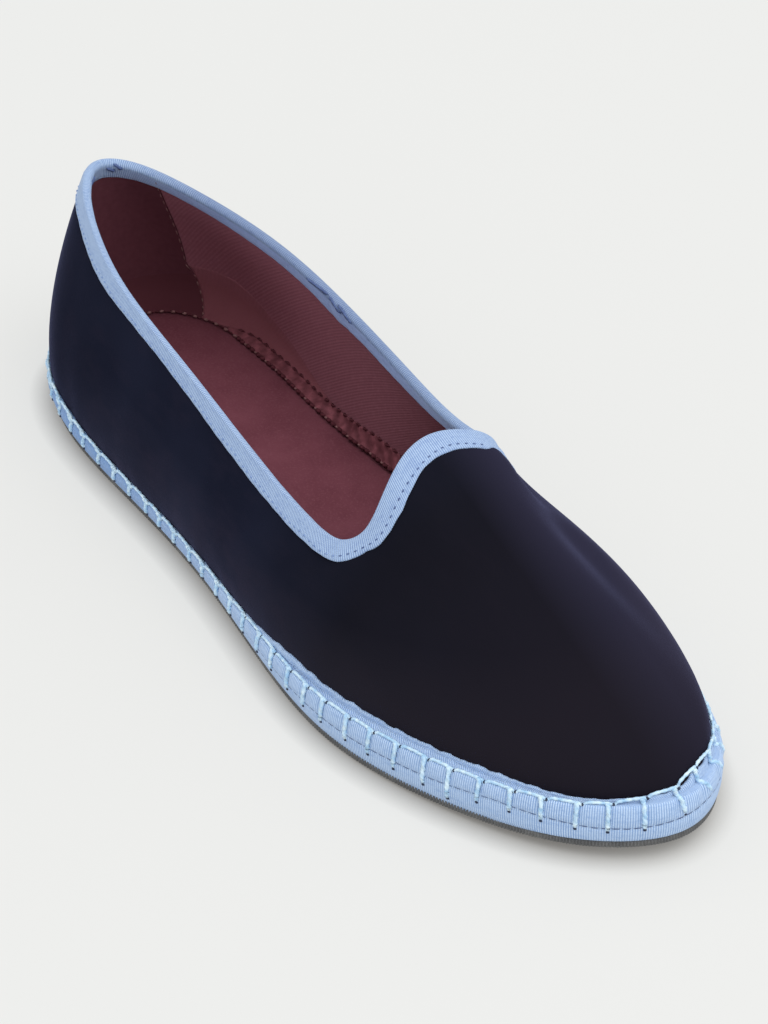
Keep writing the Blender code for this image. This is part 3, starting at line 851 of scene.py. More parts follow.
# The same stations, and how ruffled the free edge is
RUFFLE = [(0.0, 0.05), (140.0, 0.06), (175.0, 0.17), (245.0, 0.17), (275.0, 0.05), (575.4, 0.05)]
RUFFLE_WAVES = ((1.0, 0.83, 0.0), (0.8, 1.27, 1.0), (0.5, 3.1, 2.0))
# The same stations, and how far the ribbon gapes from a taut thread between two posts
GAPE, GAPE_WIDTH = [(0.0, 0.0), (279.0, 0.0), (290.0, 1.0), (312.0, 1.0), (326.0, 0.0), (575.4, 0.0)], 1.6


def ribbon_rows(turn):
    """Rows of points up the side of the sole, over its edge, up the velvet and back underneath."""
    flare, drop = SOLE_EDGE(turn)[:, 2], by_station(HEM_DROP, turn)
    seam_shift = by_station(SEAM_LEVEL, turn) - SEAM_FROM
    rows = []
    for row in SIDE_PROFILE:
        low = np.clip(row.share / SEAM_FROM, 0.0, 1.0)
        high = np.clip((SEAM_REACH - row.share) / (SEAM_REACH - SEAM_FROM), 0.0, 1.0)
        share = row.share + seam_shift * np.minimum(low, high) - drop * np.clip(1 - row.share / HEM_REACH, 0.0, 1.0)
        out = np.interp(share, PROFILE_SHARES, PROFILE_OUTS) if row.share else row.out
        rows.append(sole_ring(turn, out + flare * share, share))
    wave = waves(edge_length(np.mod(turn, 1.0)), RUFFLE_WAVES)
    rise = by_station(LIP_RISE, turn) + by_station(RUFFLE, turn) * wave
    rise = np.maximum(rise - by_station(GAPE, turn) * (1 - near_post(turn, GAPE_WIDTH)), 0.0)
    for part, more, off in LIP_ROWS:
        height = np.maximum(rise * part + more, 0.0)
        rows.append(off_upper(turn, climb_at_height(turn, height), off))
    rows.insert(EDGE_ROW + 1, rows[EDGE_ROW] * 0.5 + rows[EDGE_ROW + 1] * 0.5)
    return rows + [sole_ring(turn, *TUCKED_UNDER)]


ribbon_row_count = len(ribbon_rows(np.array([0.0])))
print("rows of the ribbon's section:", ribbon_row_count)

# %% Sole ribbon
RIBBON_ACROSS = 864
PUFF, LEG_PINCH, PINCH_WIDTH, SEAM_GROOVE = 0.42, 0.3, 1.15, 0.22
PUFF_FULL, LIP_PUFF, LIP_SLANT = 0.6, 0.45, 0.7
FOREFOOT = (125.0, 160.0)
ROW_STEPS = (6.2, 0.7, 0.6, 0.9, 0.9, 0.6, 0.4, 0.4, 0.9, 1.0, 1.0, 1.0, 1.0, 0.9, 0.6)
LIP_STEPS = (1.2, 1.2, 0.6, 0.6, 0.5, 0.6, 8.0, 0.0)
row_marks = np.cumsum([0.0, *ROW_STEPS, *LIP_STEPS])


def row_of(step, count):
    return np.rint(step * count).astype(int)


def puff_window(row):
    """Share of the swelling at a row: none under the seam, full above it."""
    if row <= EDGE_ROW:
        return smooth_step(SEAM_FROM - 0.01, PUFF_FULL, SIDE_PROFILE[row].share)
    return LIP_PUFF if row <= LIP_END_ROW else 0.0


def sole_ribbon_surface(turn, step):
    row = row_of(step, ribbon_row_count)
    points = np.empty((len(turn), 3))
    levels = ribbon_rows(turn[row == 0])
    for index, level in enumerate([*levels, levels[0]]):
        points[row == index] = level
    row %= ribbon_row_count
    near = near_post(turn, PINCH_WIDTH)
    window = np.array([puff_window(index) for index in range(ribbon_row_count)])[row]
    lift = window * (PUFF * (1 - near) - LEG_PINCH * near)
    lift -= SEAM_GROOVE * smooth_step(*FOREFOOT, points[:, 0]) * (row == SEAM_ROW)
    points[:, :2] += outward(turn) * lift[:, None]
    points[:, 2] += np.where(row > EDGE_ROW - 2, 0.5 * lift, 0.0)
    return points


def sole_ribbon_lengths(turn, step):
    mark = row_marks[row_of(step, ribbon_row_count)]
    return edge_length(turn) + LIP_SLANT * np.clip(mark - row_marks[EDGE_ROW], 0.0, None), mark


band_cloth = cut_cloth(RIBBON_ACROSS, ribbon_row_count, sole_ribbon_surface, sole_ribbon_lengths)
add_piece("sole_ribbon_band", band_cloth, sole_ribbon, ["midsole"], closed=True)

# %% [markdown]
# ## The blanket stitch
# The shiny thread lies along the turned edge of the ribbon from post to post, nearly straight, as a
# taut thread does. At each post a leg starts behind it, passes over it and runs down the side to a
# needle hole. Only at the outer forefoot does the thread lie on the sole's outer edge, in front of the
# ruffled ribbon. One stitch could be copied along the edge, but no two are alike here, so each is laid
# on the ribbon's own rows.


# %% Thread finishes
def mottled_finish(name, dark, pale, scale, colour, roughness, edges=None, **sockets):
    """Finish for thread and holes: fine noise between a dark and a pale tone."""
    made = Finish(name, colour, roughness, **sockets)
    mottle = made.noise(made.on_object(), scale)
    made.paint(made.blend(made.spread(mottle, *edges) if edges else mottle, dark, pale))
    return made


thread = mottled_finish(
    "pale_blue_thread", (0.36, 0.60, 0.85), (0.70, 0.87, 0.97), 650.0, (0.46, 0.70, 0.90), 0.36,
    edges=(0.35, 0.7), Specular_IOR_Level=0.6, Sheen_Weight=0.1,
)
# painted shade: dark beads stand in for the shade inside the needle holes
hole_shade = mottled_finish(
    "needle_hole", (0.012, 0.018, 0.04), (0.03, 0.042, 0.085), 800.0, (0.018, 0.026, 0.055), 0.9
)
seam_blue = mottled_finish("seam_blue", (0.06, 0.09, 0.2), (0.17, 0.24, 0.42), 800.0, (0.1, 0.15, 0.3), 0.8)
print("finishes:", thread.material.name, hole_shade.material.name, seam_blue.material.name)

# %% Thread along the edge
THREAD_RADIUS, TWIST_EVERY, EDGE_STEPS = 0.42, 3.6, 20
THREAD_OUT, THREAD_UP, THREAD_ARCH = 0.15, 0.75 * THREAD_RADIUS, 0.25
DIVE_AFTER, DIVE_WIDTH, DIVE = 1.1, 0.6, 0.8
# Stations along the sole edge, and where the thread lies: 0 on the sole's edge, 1 on the ribbon's free edge
THREAD_PLACE = [
    (0.0, 1.0), (120.0, 1.0), (148.0, 0.6), (168.0, 0.0), (262.0, 0.0), (272.0, 0.4), (281.0, 1.0), (575.4, 1.0),
]
# The same stations, and how straight the thread runs from post to post
TAUT = [(0.0, 0.5), (270.0, 0.5), (286.0, 1.0), (318.0, 1.0), (330.0, 0.5), (575.4, 0.5)]


def thread_rest(turn):
    """Points on which the edge thread lies."""
    rows = ribbon_rows(turn)
    share = by_station(THREAD_PLACE, turn)[:, None]
    spots = rows[EDGE_ROW] * (1 - share) + rows[LIP_END_ROW] * share
    spots[:, :2] += outward(turn) * THREAD_OUT
    spots[:, 2] += THREAD_UP
    return spots


post_spots = thread_rest(POST_TURNS)
order = np.argsort(POST_TURNS)
share = np.arange(EDGE_STEPS) / EDGE_STEPS
edge_path = []
for first, second in zip(order, np.roll(order, -1)):
    ahead = POST_LENGTHS[second] - POST_LENGTHS[first]
    ahead = ahead if ahead > 0 else ahead + EDGE_LENGTHS[-1]
    curved = thread_rest(edge_turn(POST_LENGTHS[first] + share * ahead))
    straight = post_spots[first] + (post_spots[second] - post_spots[first]) * share[:, None]
    taut = by_station(TAUT, POST_TURNS[[first]])[0]
    stretch = curved * (1 - taut) + straight * taut
    stretch[:, 2] += THREAD_ARCH * np.sin(np.pi * share) - DIVE * bell(share * ahead - DIVE_AFTER, DIVE_WIDTH)
    edge_path.append(stretch)
stitching = bmesh.new()
roll_thread(stitching, np.vstack(edge_path), THREAD_RADIUS, TWIST_EVERY, closed=True)
print("edge thread rings:", POSTS * EDGE_STEPS)

# %% Legs of the stitch and their needle holes
LEG_RADIUS, LEG_STEPS, LEG_TURN, LEG_WANDER, LEG_PROUD = 0.58, 18, -0.9, 0.35, 0.16
BEND_SHARE, BEND_OUT, BEND_UP, LEG_START_DOWN, LEG_END_IN = 0.65, 0.3, 0.1, 0.3, 0.3
CLEAR_OF_TOP, CLEAR_OF_END = 0.7, 0.3
HOLE_RADIUS, HOLE_SQUASH, HOLE_OUT = 0.5, (1.0, 1.0, 0.8), 0.15
TOP_HOLE_SPAN = (150.0, 300.0)
UP = np.array([0.0, 0.0, 1.0])
HOLE_DOWN = 0.45 * UP
# Stations along the sole edge, and the share of the band's height where a leg ends
LEG_END = [
    (0.0, 0.34), (200.0, 0.3), (223.0, 0.24), (231.0, 0.16), (239.0, 0.27), (250.0, 0.31), (275.0, 0.33),
    (281.0, 0.36), (287.5, 0.5), (295.0, 0.58), (304.0, 0.6), (320.0, 0.5), (345.0, 0.38), (575.4, 0.34),
]
# The same stations, and how far a leg leans along the edge on its way down
LEG_LEAN = [
    (0.0, 0.0), (281.0, 0.0), (287.5, 2.5), (295.0, 5.7), (304.0, 5.4), (320.0, 4.0), (345.0, 0.0), (575.4, 0.0),
]
side_shares = np.array([row.share for row in SIDE_PROFILE])
leg_levels = np.arange(LIP_END_ROW, 1, -1)
holes = bmesh.new()


def prick(spot):
    """Adds a small dark bead at a spot: painted shade of a needle hole."""
    bead = bmesh.ops.create_uvsphere(holes, u_segments=8, v_segments=5, radius=HOLE_RADIUS * MM)["verts"]
    bmesh.ops.scale(holes, vec=HOLE_SQUASH, verts=bead)
    bmesh.ops.translate(holes, vec=Vector((spot + SHOE_SHIFT) * MM), verts=bead)


def along_knots(places, marks, knots):
    """Points on the straight runs between knots, at places along their marks."""
    return np.column_stack([np.interp(places, marks, knots[:, axis]) for axis in range(3)])


for number, turn in enumerate(POST_TURNS):
    one, post = np.array([turn]), POST_LENGTHS[[number]]
    side = np.append(outward(one)[0], 0.0)
    lean = by_station(LEG_LEAN, one)[0] + LEG_WANDER * np.sin(number * 1.9)
    rows = ribbon_rows(edge_turn(post + lean * np.linspace(0.0, 1.0, len(leg_levels))))
    spots = np.array([rows[level][place] for place, level in enumerate(leg_levels)])
    beside, top = thread_rest(edge_turn(post + LEG_TURN))[0], thread_rest(one)[0]
    bend = (1 - BEND_SHARE) * beside + BEND_SHARE * top + side * BEND_OUT + UP * BEND_UP
    end = along_knots(by_station(LEG_END, one), side_shares[2:], spots[leg_levels <= EDGE_ROW][::-1])[0]
    between = (spots[:, 2] < top[2] - CLEAR_OF_TOP) & (spots[:, 2] > end[2] + CLEAR_OF_END)
    passed = spots[between] + side * LEG_PROUD
    knots = np.vstack([beside - UP * LEG_START_DOWN, bend, passed, end - side * LEG_END_IN])
    reach = running_length(knots)
    leg = along_knots(np.linspace(0.0, reach[-1], LEG_STEPS), reach, knots)
    leg[1:-1] = 0.25 * leg[:-2] + 0.5 * leg[1:-1] + 0.25 * leg[2:]
    roll_thread(stitching, leg, LEG_RADIUS, TWIST_EVERY)
    prick(knots[-1] + side * HOLE_OUT - HOLE_DOWN)
    if TOP_HOLE_SPAN[0] < post[0] < TOP_HOLE_SPAN[1]:
        prick(thread_rest(edge_turn(post + DIVE_AFTER))[0] - HOLE_DOWN)
add_piece("blanket_stitch", stitching, thread, closed=True)
add_piece("needle_holes", holes, hole_shade)

# %% [markdown]
# A fine dark seam runs along the ribbon at the forefoot, a little above the needle holes. It is a row
# of short machine stitches sunk in a groove. A dark line in the colour would do from far away, but only
# real threads break the light as sewing does.

# %% Seam along the ribbon
SEAM_START, SEAM_END = 142.0, 430.0
SEAM_STITCH, SEAM_GAP = 2.1, 0.35
SEAM_RADIUS, SEAM_PROUD = 0.19, 0.05
seam = bmesh.new()
for start in np.arange(SEAM_START, SEAM_END, SEAM_STITCH + SEAM_GAP):
    turn = edge_turn(start + np.linspace(0.0, SEAM_STITCH, 5))
    lower = ribbon_rows(turn)[SEAM_ROW]
    lower[:, :2] += outward(turn) * (SEAM_PROUD - SEAM_GROOVE)
    roll_thread(seam, lower, SEAM_RADIUS, TWIST_EVERY, sides=5)
add_piece("ribbon_seam", seam, seam_blue, closed=True)

# %% [markdown]
# ## The collar binding
# The same ribbon, a little darker, is folded over the topline. Its section is a long hairpin with a
# round crown, carried round the collar. The fold is drawn together at the back of the heel and at a
# join on the inner side, where it wrinkles. A bevelled curve would make a round cord of it; the hairpin
# keeps two flat faces, and each can be longer where the hand that sewed it left it so.

# %% Section of the binding
collar_ribbon = ribbon_finish("collar_ribbon", (0.31, 0.43, 0.63), (0.14, 0.23, 0.47), (0.42, 0.55, 0.74), far=True)
OUTER_LEG, INNER_LEG = 5.2, 4.2
FACE_OUT, FACE_IN = 0.55, UPPER_WALL + 0.55
CROWN_STEPS, CROWN_FLAT = 8, 0.75
Fold = namedtuple("Fold", "below offset")
crown_middle, crown_radius = (FACE_OUT - FACE_IN) / 2, (FACE_OUT + FACE_IN) / 2
crown_angles = np.linspace(0.0, np.pi, CROWN_STEPS + 1)
FOLD_ROWS = (
    [Fold(OUTER_LEG, 0.1), Fold(OUTER_LEG, FACE_OUT * 0.75)]
    + [Fold(below, FACE_OUT) for below in (4.8, 4.0, 3.2, 2.4, 1.6, 0.8)]
    + [Fold(-crown_radius * np.sin(a) * CROWN_FLAT, crown_middle + crown_radius * np.cos(a)) for a in crown_angles]
    + [Fold(below, -FACE_IN) for below in (0.8, 1.8, 2.8, 3.8)]
    + [Fold(INNER_LEG, -FACE_IN * 0.95), Fold(INNER_LEG, -UPPER_WALL - 0.1)]
    + [Fold(1.0, -UPPER_WALL * 0.5)]
)
fold_marks = np.cumsum([0.0, 0.65, 0.4] + [0.8] * 6 + [0.65] * 8 + [0.8] * 7 + [3.3])
print("finish:", collar_ribbon.material.name, "on", len(FOLD_ROWS), "rows")

# %% Binding
BINDING_ACROSS = 640
Join = namedtuple("Join", "length width depth")
inner_join = float(top_length(0.830))
JOINS = [
    Join(4.0, 0.9, -0.12), Join(6.2, 0.8, 0.1), Join(8.4, 1.1, -0.1),
    Join(inner_join + 3.0, 1.0, -0.14), Join(inner_join, 0.9, 0.1), Join(inner_join - 3.4, 1.2, -0.14),
]
# Turns between which the outer leg is shorter and flatter: start, full, falling, end
INNER_FLANK, FLANK_SHORT, FLANK_FLAT = (0.545, 0.565, 0.66, 0.70), 0.3, 0.45
SLIM_DROP, SLIM_CROWN, SLIM_INSIDE = 0.6, 0.5, 0.28
HANG_LENGTH, HANG_WIDTH, HANG = 313.0, 9.0, 1.2
LEG_WAVES = ((0.06, 0.31, 0.0), (0.04, 1.1, 2.0))
# Turns round the topline, and how much longer the binding's outer leg is there
LEG_EXTRA = [
    (0.0, 0.0), (0.05, 0.0), (0.07, -0.3), (0.1, 0.4), (0.12, 0.0), (0.14, -0.85), (0.165, -0.85), (0.2, -0.3),
    (0.22, 0.0), (0.3, 0.1), (0.325, 0.9), (0.34, 1.1), (0.36, 0.3), (0.38, 0.3), (0.4, 2.0), (0.42, 2.6),
    (0.44, 2.8), (0.46, 1.9), (0.48, 0.9), (0.54, 0.7), (0.58, 0.0), (1.0, 0.0),
]


def fold_point(turn, below, offset):
    """Point a distance below the topline and an offset out of the upper."""
    upward = upper_point(turn, np.ones_like(turn))
    upward -= upper_point(turn, climb_below_top(turn, np.full_like(turn, INNER_LEG)))
    upward /= np.linalg.norm(upward, axis=1)[:, None]
    past = np.maximum(-np.broadcast_to(below, turn.shape), 0.0)
    return off_upper(turn, climb_below_top(turn, np.maximum(below, 0.0)), offset) + upward * past[:, None]


def binding_surface(turn, step):
    row = row_of(step, len(FOLD_ROWS)) % len(FOLD_ROWS)
    points = np.empty((len(turn), 3))
    length = top_length(turn)
    wrinkle = sum(join.depth * bell(length - join.length, join.width) for join in JOINS)
    wave = waves(length, LEG_WAVES)
    start, full, fall, end = INNER_FLANK
    flank = smooth_step(start, full, turn) * (1 - smooth_step(fall, end, turn))
    slim, longer = by_turn(SLIM_EDGE, turn), by_turn(LEG_EXTRA, turn) / OUTER_LEG
    hang = HANG * bell(length - HANG_LENGTH, HANG_WIDTH)
    for index, fold in enumerate(FOLD_ROWS):
        here = row == index
        is_leg = fold.below > 0.5 * INNER_LEG
        below = fold.below + is_leg * wave[here]
        offset = fold.offset + (abs(fold.offset) > 0.5) * wrinkle[here] * np.sign(fold.offset)
        if fold.below <= 0:
            below = below * (1 - SLIM_CROWN * slim[here]) + SLIM_DROP * slim[here]
        if fold.offset > 0:
            below, offset = below * (1 - FLANK_SHORT * flank[here]), offset * (1 - FLANK_FLAT * flank[here])
            below = below * (1 + longer[here]) if fold.below > 0 else below
        else:
            offset = offset * (1 - SLIM_INSIDE * slim[here])
            below = below + is_leg * hang[here]
        points[here] = fold_point(turn[here], below, offset)
    return points


binding_cloth = cut_cloth(
    BINDING_ACROSS, len(FOLD_ROWS), binding_surface,
    lambda turn, step: (top_length(turn), fold_marks[row_of(step, len(FOLD_ROWS))]),
)
add_piece("collar_ribbon_fold", binding_cloth, collar_ribbon, ["collar_binding"], closed=True)

# %% Stitches of the binding
BINDING_STITCH, BINDING_PITCH, BINDING_TWIST = 0.95, 2.05, 9.0
BINDING_THREAD, LOOSE_THREAD = 0.2, 0.5
STITCH_UP, STITCH_DRIFT, STITCH_FOLLOWS, STITCH_PROUD = 1.0, 0.25, 0.6, 0.02
TONGUE_SPAN = (0.34, 0.56)
binding_thread = mottled_finish(
    "dark_blue_thread", (0.035, 0.06, 0.17), (0.11, 0.17, 0.36), 500.0, (0.06, 0.10, 0.24), 0.6
)
soft_thread = mottled_finish(
    "mid_blue_thread", (0.12, 0.20, 0.42), (0.24, 0.35, 0.60), 500.0, (0.22, 0.33, 0.56), 0.6
)
# The loose stitches are thick dark threads at the joins: partly real thread, partly painted shade of the wrinkles
# there
# Ends of the loose stitches at the joins: length along the topline, distance below it, offset from the upper
LOOSE_STITCHES = [
    [(324.0, -0.2, -2.1), (314.0, -1.0, -1.65)], [(314.0, -0.9, -1.7), (308.0, 0.5, -2.3)],
    [(310.0, -1.0, -1.65), (303.0, 0.2, -2.25)], [(392.0, -0.9, -1.75), (389.2, 0.2, -2.3)],
    [(394.5, 0.4, -2.3), (391.5, 1.4, -2.3)], [(5.0, 0.6, -2.3), (8.5, 1.6, -2.3)],
]
plain_stitches, tongue_stitches = bmesh.new(), bmesh.new()


def sew_binding(shape, lengths, below, offset, radius):
    path = fold_point(top_turn(lengths), below, np.broadcast_to(offset, lengths.shape))
    roll_thread(shape, path, radius, BINDING_TWIST, sides=5)


for start in np.arange(0.0, TOP_LENGTHS[-1] - BINDING_STITCH, BINDING_PITCH):
    if INNER_FLANK[0] < top_turn(start) < INNER_FLANK[-1]:
        continue
    lengths = start + np.linspace(0.0, BINDING_STITCH, 4)
    below = OUTER_LEG - STITCH_UP + STITCH_FOLLOWS * by_turn(LEG_EXTRA, top_turn(lengths))
    below = below + STITCH_DRIFT * np.sin(start * 0.37)
    on_tongue = TONGUE_SPAN[0] < top_turn(start) < TONGUE_SPAN[1]
    outer = tongue_stitches if on_tongue else plain_stitches
    sew_binding(outer, lengths, below, FACE_OUT + STITCH_PROUD, BINDING_THREAD)
for ends in LOOSE_STITCHES:
    sew_binding(tongue_stitches, *np.linspace(*ends, 7).T, LOOSE_THREAD)
add_piece("binding_stitches", plain_stitches, soft_thread, closed=True)
add_piece("tongue_stitches", tongue_stitches, binding_thread, closed=True)

# %% [markdown]
# ## Sewing inside the shoe
# At its foot the lining curves from the wall onto the insole: each stretch of that cove is a sheet
# between four guide lines. Along both sides a margin of the lining lies on the insole, drawn into
# small gathers, and is sewn down with short pale stitches. Dark burgundy thread between them and dark
# dashes along the margin's fold are painted shade of the groove, the needle holes and the fold; the
# dark stripes of the gathers are painted shade as well. Round the heel the same row shows as a plain
# row of stitches, and paler stitches hold the front edge of the heel lining. A bevel between wall
# and insole would have one radius; with guide lines the cove is wide at the heel and tight at the side.

# %% Cove of the lining
COVE_ACROSS, COVE_ALONG, COVE_WIDTH = 150, 12, 180.0
COVE_CLIMB, COVE_SLANT, COVE_LEAST = 1.1, 0.0145, 0.4
COVE_TOP, COVE_BEND, COVE_FOOT, COVE_OFF = 1.0, 0.4, 0.45, 0.05
COVE_LIFT, SHEET_WALL = 0.12 * UP, 0.3
cove_inner, cove_outer = INNER_SEAM[1], OUTER_SEAM[1]
# Stations along the sole edge, and the width of the margin between its fold and the sewn row
MARGIN_WIDTH = [(0.0, 0.4), (40.0, 0.4), (54.0, 4.3), (522.0, 4.3), (536.0, 0.4), (575.4, 0.4)]
# Finish of each cove, the turns at its ends, and which way each end slants along the heel seam
COVES = {
    "outer_cove": (twill, (cove_outer, 0.40), (1, 0)),
    "inner_cove": (twill, (0.60, cove_inner), (0, -1)),
    "heel_cove": (heel_satin, (cove_inner, 1.0 + cove_outer), (-1, 1)),
}


def cove_surface(turn, across):
    """Sheet that curves from the wall, at across 0, down to the fold of the margin."""
    reach = np.maximum(by_station(SEWN_ROW, turn) - by_station(MARGIN_WIDTH, turn), COVE_LEAST)
    guides = []
    for height in (COVE_TOP + COVE_CLIMB * reach, COVE_BEND * COVE_CLIMB * reach):
        guides.append(off_upper(turn, climb_at_height(turn, INSOLE_THICKNESS + height), COVE_OFF - UPPER_WALL))
    guides += [beside_wall(turn, COVE_FOOT * reach), beside_wall(turn, reach)]
    share = across[:, None]
    weights = [(1 - share) ** 3, 3 * share * (1 - share) ** 2, 3 * share**2 * (1 - share), share**3]
    return sum(weight * guide for weight, guide in zip(weights, guides)) + COVE_LIFT


def cove_between(ends, slants):
    """Surface of one cove, whose ends at the heel seam slant forwards on their way down."""

    def surface(share, across):
        first, last = (end + COVE_SLANT * slant * across for end, slant in zip(ends, slants))
        return cove_surface(first + (last - first) * share, across)

    return surface


for name, (finish, ends, slants) in COVES.items():
    sheet = cut_cloth(COVE_ACROSS, COVE_ALONG, cove_between(ends, slants), (COVE_WIDTH, -COVE_LENGTH))
    add_piece(name, sheet, finish, wall=SHEET_WALL)

# %% Gathered margin of the lining
MARGIN_ACROSS, MARGIN_ALONG, MARGIN_FULL = 460, 8, 4.3
GATHER_PITCH, GATHER_HEIGHT, GATHER_SLANT = 2.6, 0.16, 3.0
FOLD_DASH, FOLD_GAP, FOLD_ENDS, FOLD_SHADE_RADIUS = 2.5, 0.9, 4.0, 0.48
SEWN_TWIST, SEWN_LIFT = 2.2, 0.3
margin_cloth = Finish("gathered_margin", (0.09, 0.026, 0.033), 0.85, Specular_IOR_Level=0.2)
mottle = margin_cloth.spread(margin_cloth.noise(margin_cloth.on_object(), 480.0, 3.0), 0.35, 0.68)
tone = margin_cloth.blend(mottle, (0.15, 0.042, 0.054), (0.29, 0.092, 0.114))
# painted shade: dark stripes that follow the gathers stand in for the shade in their folds
gathers = margin_cloth.times(margin_cloth.ribs(margin_cloth.on_cloth(), GATHER_PITCH, "DIAGONAL", 1.2), 0.45)
margin_cloth.paint(margin_cloth.blend(gathers, tone, (0.07, 0.019, 0.025)))
wine_shade = mottled_finish(
    "dark_wine_shade", (0.062, 0.015, 0.021), (0.135, 0.037, 0.048), 700.0, (0.1, 0.026, 0.036), 0.8,
    Specular_IOR_Level=0.1,
)
rose_thread = mottled_finish(
    "pale_wine_thread", (0.16, 0.062, 0.065), (0.30, 0.15, 0.15), 700.0, (0.22, 0.105, 0.1), 0.7
)
shade_sewing, pale_sewing = bmesh.new(), bmesh.new()


def margin_point(turn, across):
    """Place on the margin: across goes from its fold to the sewn row."""
    points = beside_wall(turn, by_station(SEWN_ROW, turn) - by_station(MARGIN_WIDTH, turn) * (1 - across))
    points[:, 2] += SEWN_LIFT
    return points


def margin_surface(turn, across):
    points = margin_point(turn, across)
    gather = np.sin(2 * np.pi * edge_length(turn) / GATHER_PITCH + GATHER_SLANT * across)
    points[:, 2] += GATHER_HEIGHT * gather * np.sin(np.pi * across)
    return points


for name, (start, end) in {"outer_margin": (44.0, 240.0), "inner_margin": (352.0, 532.0)}.items():
    strip = cut_cloth(
        MARGIN_ACROSS, MARGIN_ALONG,
        lambda share, across: margin_surface(edge_turn(start + (end - start) * share), across),
        lambda share, across: (start + (end - start) * share, across * MARGIN_FULL),
    )
    add_piece(name, strip, margin_cloth, wall=SHEET_WALL)
    # painted shade: dark thread dashes along the margin's fold stand in for the shade in the fold
    for dash in np.arange(start + FOLD_ENDS, end - FOLD_ENDS, FOLD_DASH + FOLD_GAP):
        path = margin_point(edge_turn(dash + np.linspace(0.0, FOLD_DASH, 4)), np.zeros(4))
        roll_thread(shade_sewing, path, FOLD_SHADE_RADIUS, SEWN_TWIST, sides=5)

# %% Threads on the insole
SOCK_PITCH, SOCK_GAPS = 5.0, (0.1, 0.2, 0.3)
InsoleStitch = namedtuple("InsoleStitch", "pale_length pale_radius dark_radius")
HEEL_STITCH, SIDE_STITCH = InsoleStitch(1.9, 0.42, 0.24), InsoleStitch(0.8, 0.3, 0.58)
SIDE_SPAN = (60.0, 522.0)
STITCH_ARCH = np.array([-0.2, 0.1, 0.17, 0.1, -0.2])


def sew_insole(shape, start, length, radius):
    path = margin_point(edge_turn(start + np.linspace(0.0, length, 5)), np.ones(5))
    path[:, 2] += STITCH_ARCH
    roll_thread(shape, path, radius, SEWN_TWIST, sides=6)


# painted shade: the dark pieces between the pale stitches stand in for the shade of the groove and the needle holes
for start in np.arange(0.0, EDGE_LENGTHS[-1] - SOCK_PITCH, SOCK_PITCH):
    kind = SIDE_STITCH if SIDE_SPAN[0] < start < SIDE_SPAN[1] else HEEL_STITCH
    sew_insole(pale_sewing, start, kind.pale_length, kind.pale_radius)
    half = (SOCK_PITCH - kind.pale_length - SOCK_GAPS[2]) / 2
    for dark_start in (SOCK_GAPS[0], SOCK_GAPS[1] + half):
        sew_insole(shade_sewing, start + kind.pale_length + dark_start, half, kind.dark_radius)
add_piece("painted_shade_sewing", shade_sewing, wine_shade, closed=True)

# %% Threads on the heel seam
HALF_STITCH = np.linspace(-0.3, 0.3, 4)
COVE_STITCHES, COVE_SEWN, COVE_THREAD = 5, (0.25, 0.7), 0.22
SEAM_STITCHES, SEAM_THREAD, SEAM_EDGE, SEAM_LIFT = 15, 0.2, 0.005, 0.05
FINE_TWIST = 2.0
for end, side in ((cove_inner, -1), (cove_outer, 1)):
    for middle in np.arange(COVE_STITCHES) + 0.5:
        step = COVE_SEWN[0] + COVE_SEWN[1] * (middle + HALF_STITCH) / COVE_STITCHES
        path = cove_surface(end + side * COVE_SLANT * step, step) + COVE_LIFT
        roll_thread(pale_sewing, path, COVE_THREAD, FINE_TWIST, sides=5)
for across in (np.full(4, SEAM_EDGE), np.full(4, 1 - SEAM_EDGE)):
    for middle in np.arange(SEAM_STITCHES) + 0.5:
        step = (middle + HALF_STITCH) / SEAM_STITCHES
        inwards = -upper_normal(heel_turn(across, step), np.full(4, 0.5))
        path = heel_lining_surface(across, step) + inwards * SEAM_LIFT
        roll_thread(pale_sewing, path, SEAM_THREAD, FINE_TWIST, sides=5)
add_piece("pale_insole_sewing", pale_sewing, rose_thread, closed=True)

# %% [markdown]
# ## The outsole
# Under the ribbon lies a thin dark rubber sole. Its edge is moulded with fine upright ribs, which are
# real here: the ring of its section is cut finely enough to carry each rib. A bump would be lighter, but
# would leave the edge smooth in outline. The tread below is a plain sheet with a matt grain.

# %% Rubber finish and ribbed edge
rubber = Finish("dark_rubber", (0.11, 0.11, 0.108), 0.72, Specular_IOR_Level=0.35)
place = rubber.on_object()
scuffs = rubber.spread(rubber.noise(place, 160.0, 4.0, 0.65), 0.45, 0.8)
rubber.paint(rubber.blend(scuffs, (0.125, 0.126, 0.128), (0.225, 0.224, 0.22)))
rubber.bump(rubber.noise(place, 1300.0, 3.0), 0.1, 0.5)
EDGE_RIBS, RIB_FACES, RIB_DEPTH, EDGE_SIZE = 680, 4, 0.3, (575.0, 9.0)
EdgeLevel = namedtuple("EdgeLevel", "out height ribbed")
EDGE_LEVELS = [
    EdgeLevel(-7.0, 0.15, 0.0), EdgeLevel(-1.3, 0.0, 0.0), EdgeLevel(-0.9, 0.25, 0.6), EdgeLevel(-0.7, 0.55, 1.0),
    EdgeLevel(-0.65, 1.1, 1.0), EdgeLevel(-0.65, 1.75, 1.0), EdgeLevel(-0.9, 2.15, 0.3), EdgeLevel(-7.0, 2.15, 0.0),
]


def outsole_edge_surface(turn, step):
    row = row_of(step, len(EDGE_LEVELS)) % len(EDGE_LEVELS)
    level = EdgeLevel(*np.array(EDGE_LEVELS)[row].T)
    offset = level.out + RIB_DEPTH * level.ribbed * np.cos(2 * np.pi * EDGE_RIBS * turn)
    flat = SOLE_EDGE(turn)[:, :2] + outward(turn) * offset[:, None]
    return np.column_stack([flat, ground(flat[:, 0]) + level.height])


edge_ring = cut_cloth(EDGE_RIBS * RIB_FACES, len(EDGE_LEVELS), outsole_edge_surface, EDGE_SIZE)
add_piece("outsole_edge", edge_ring, rubber, ["outsole"], closed=True)

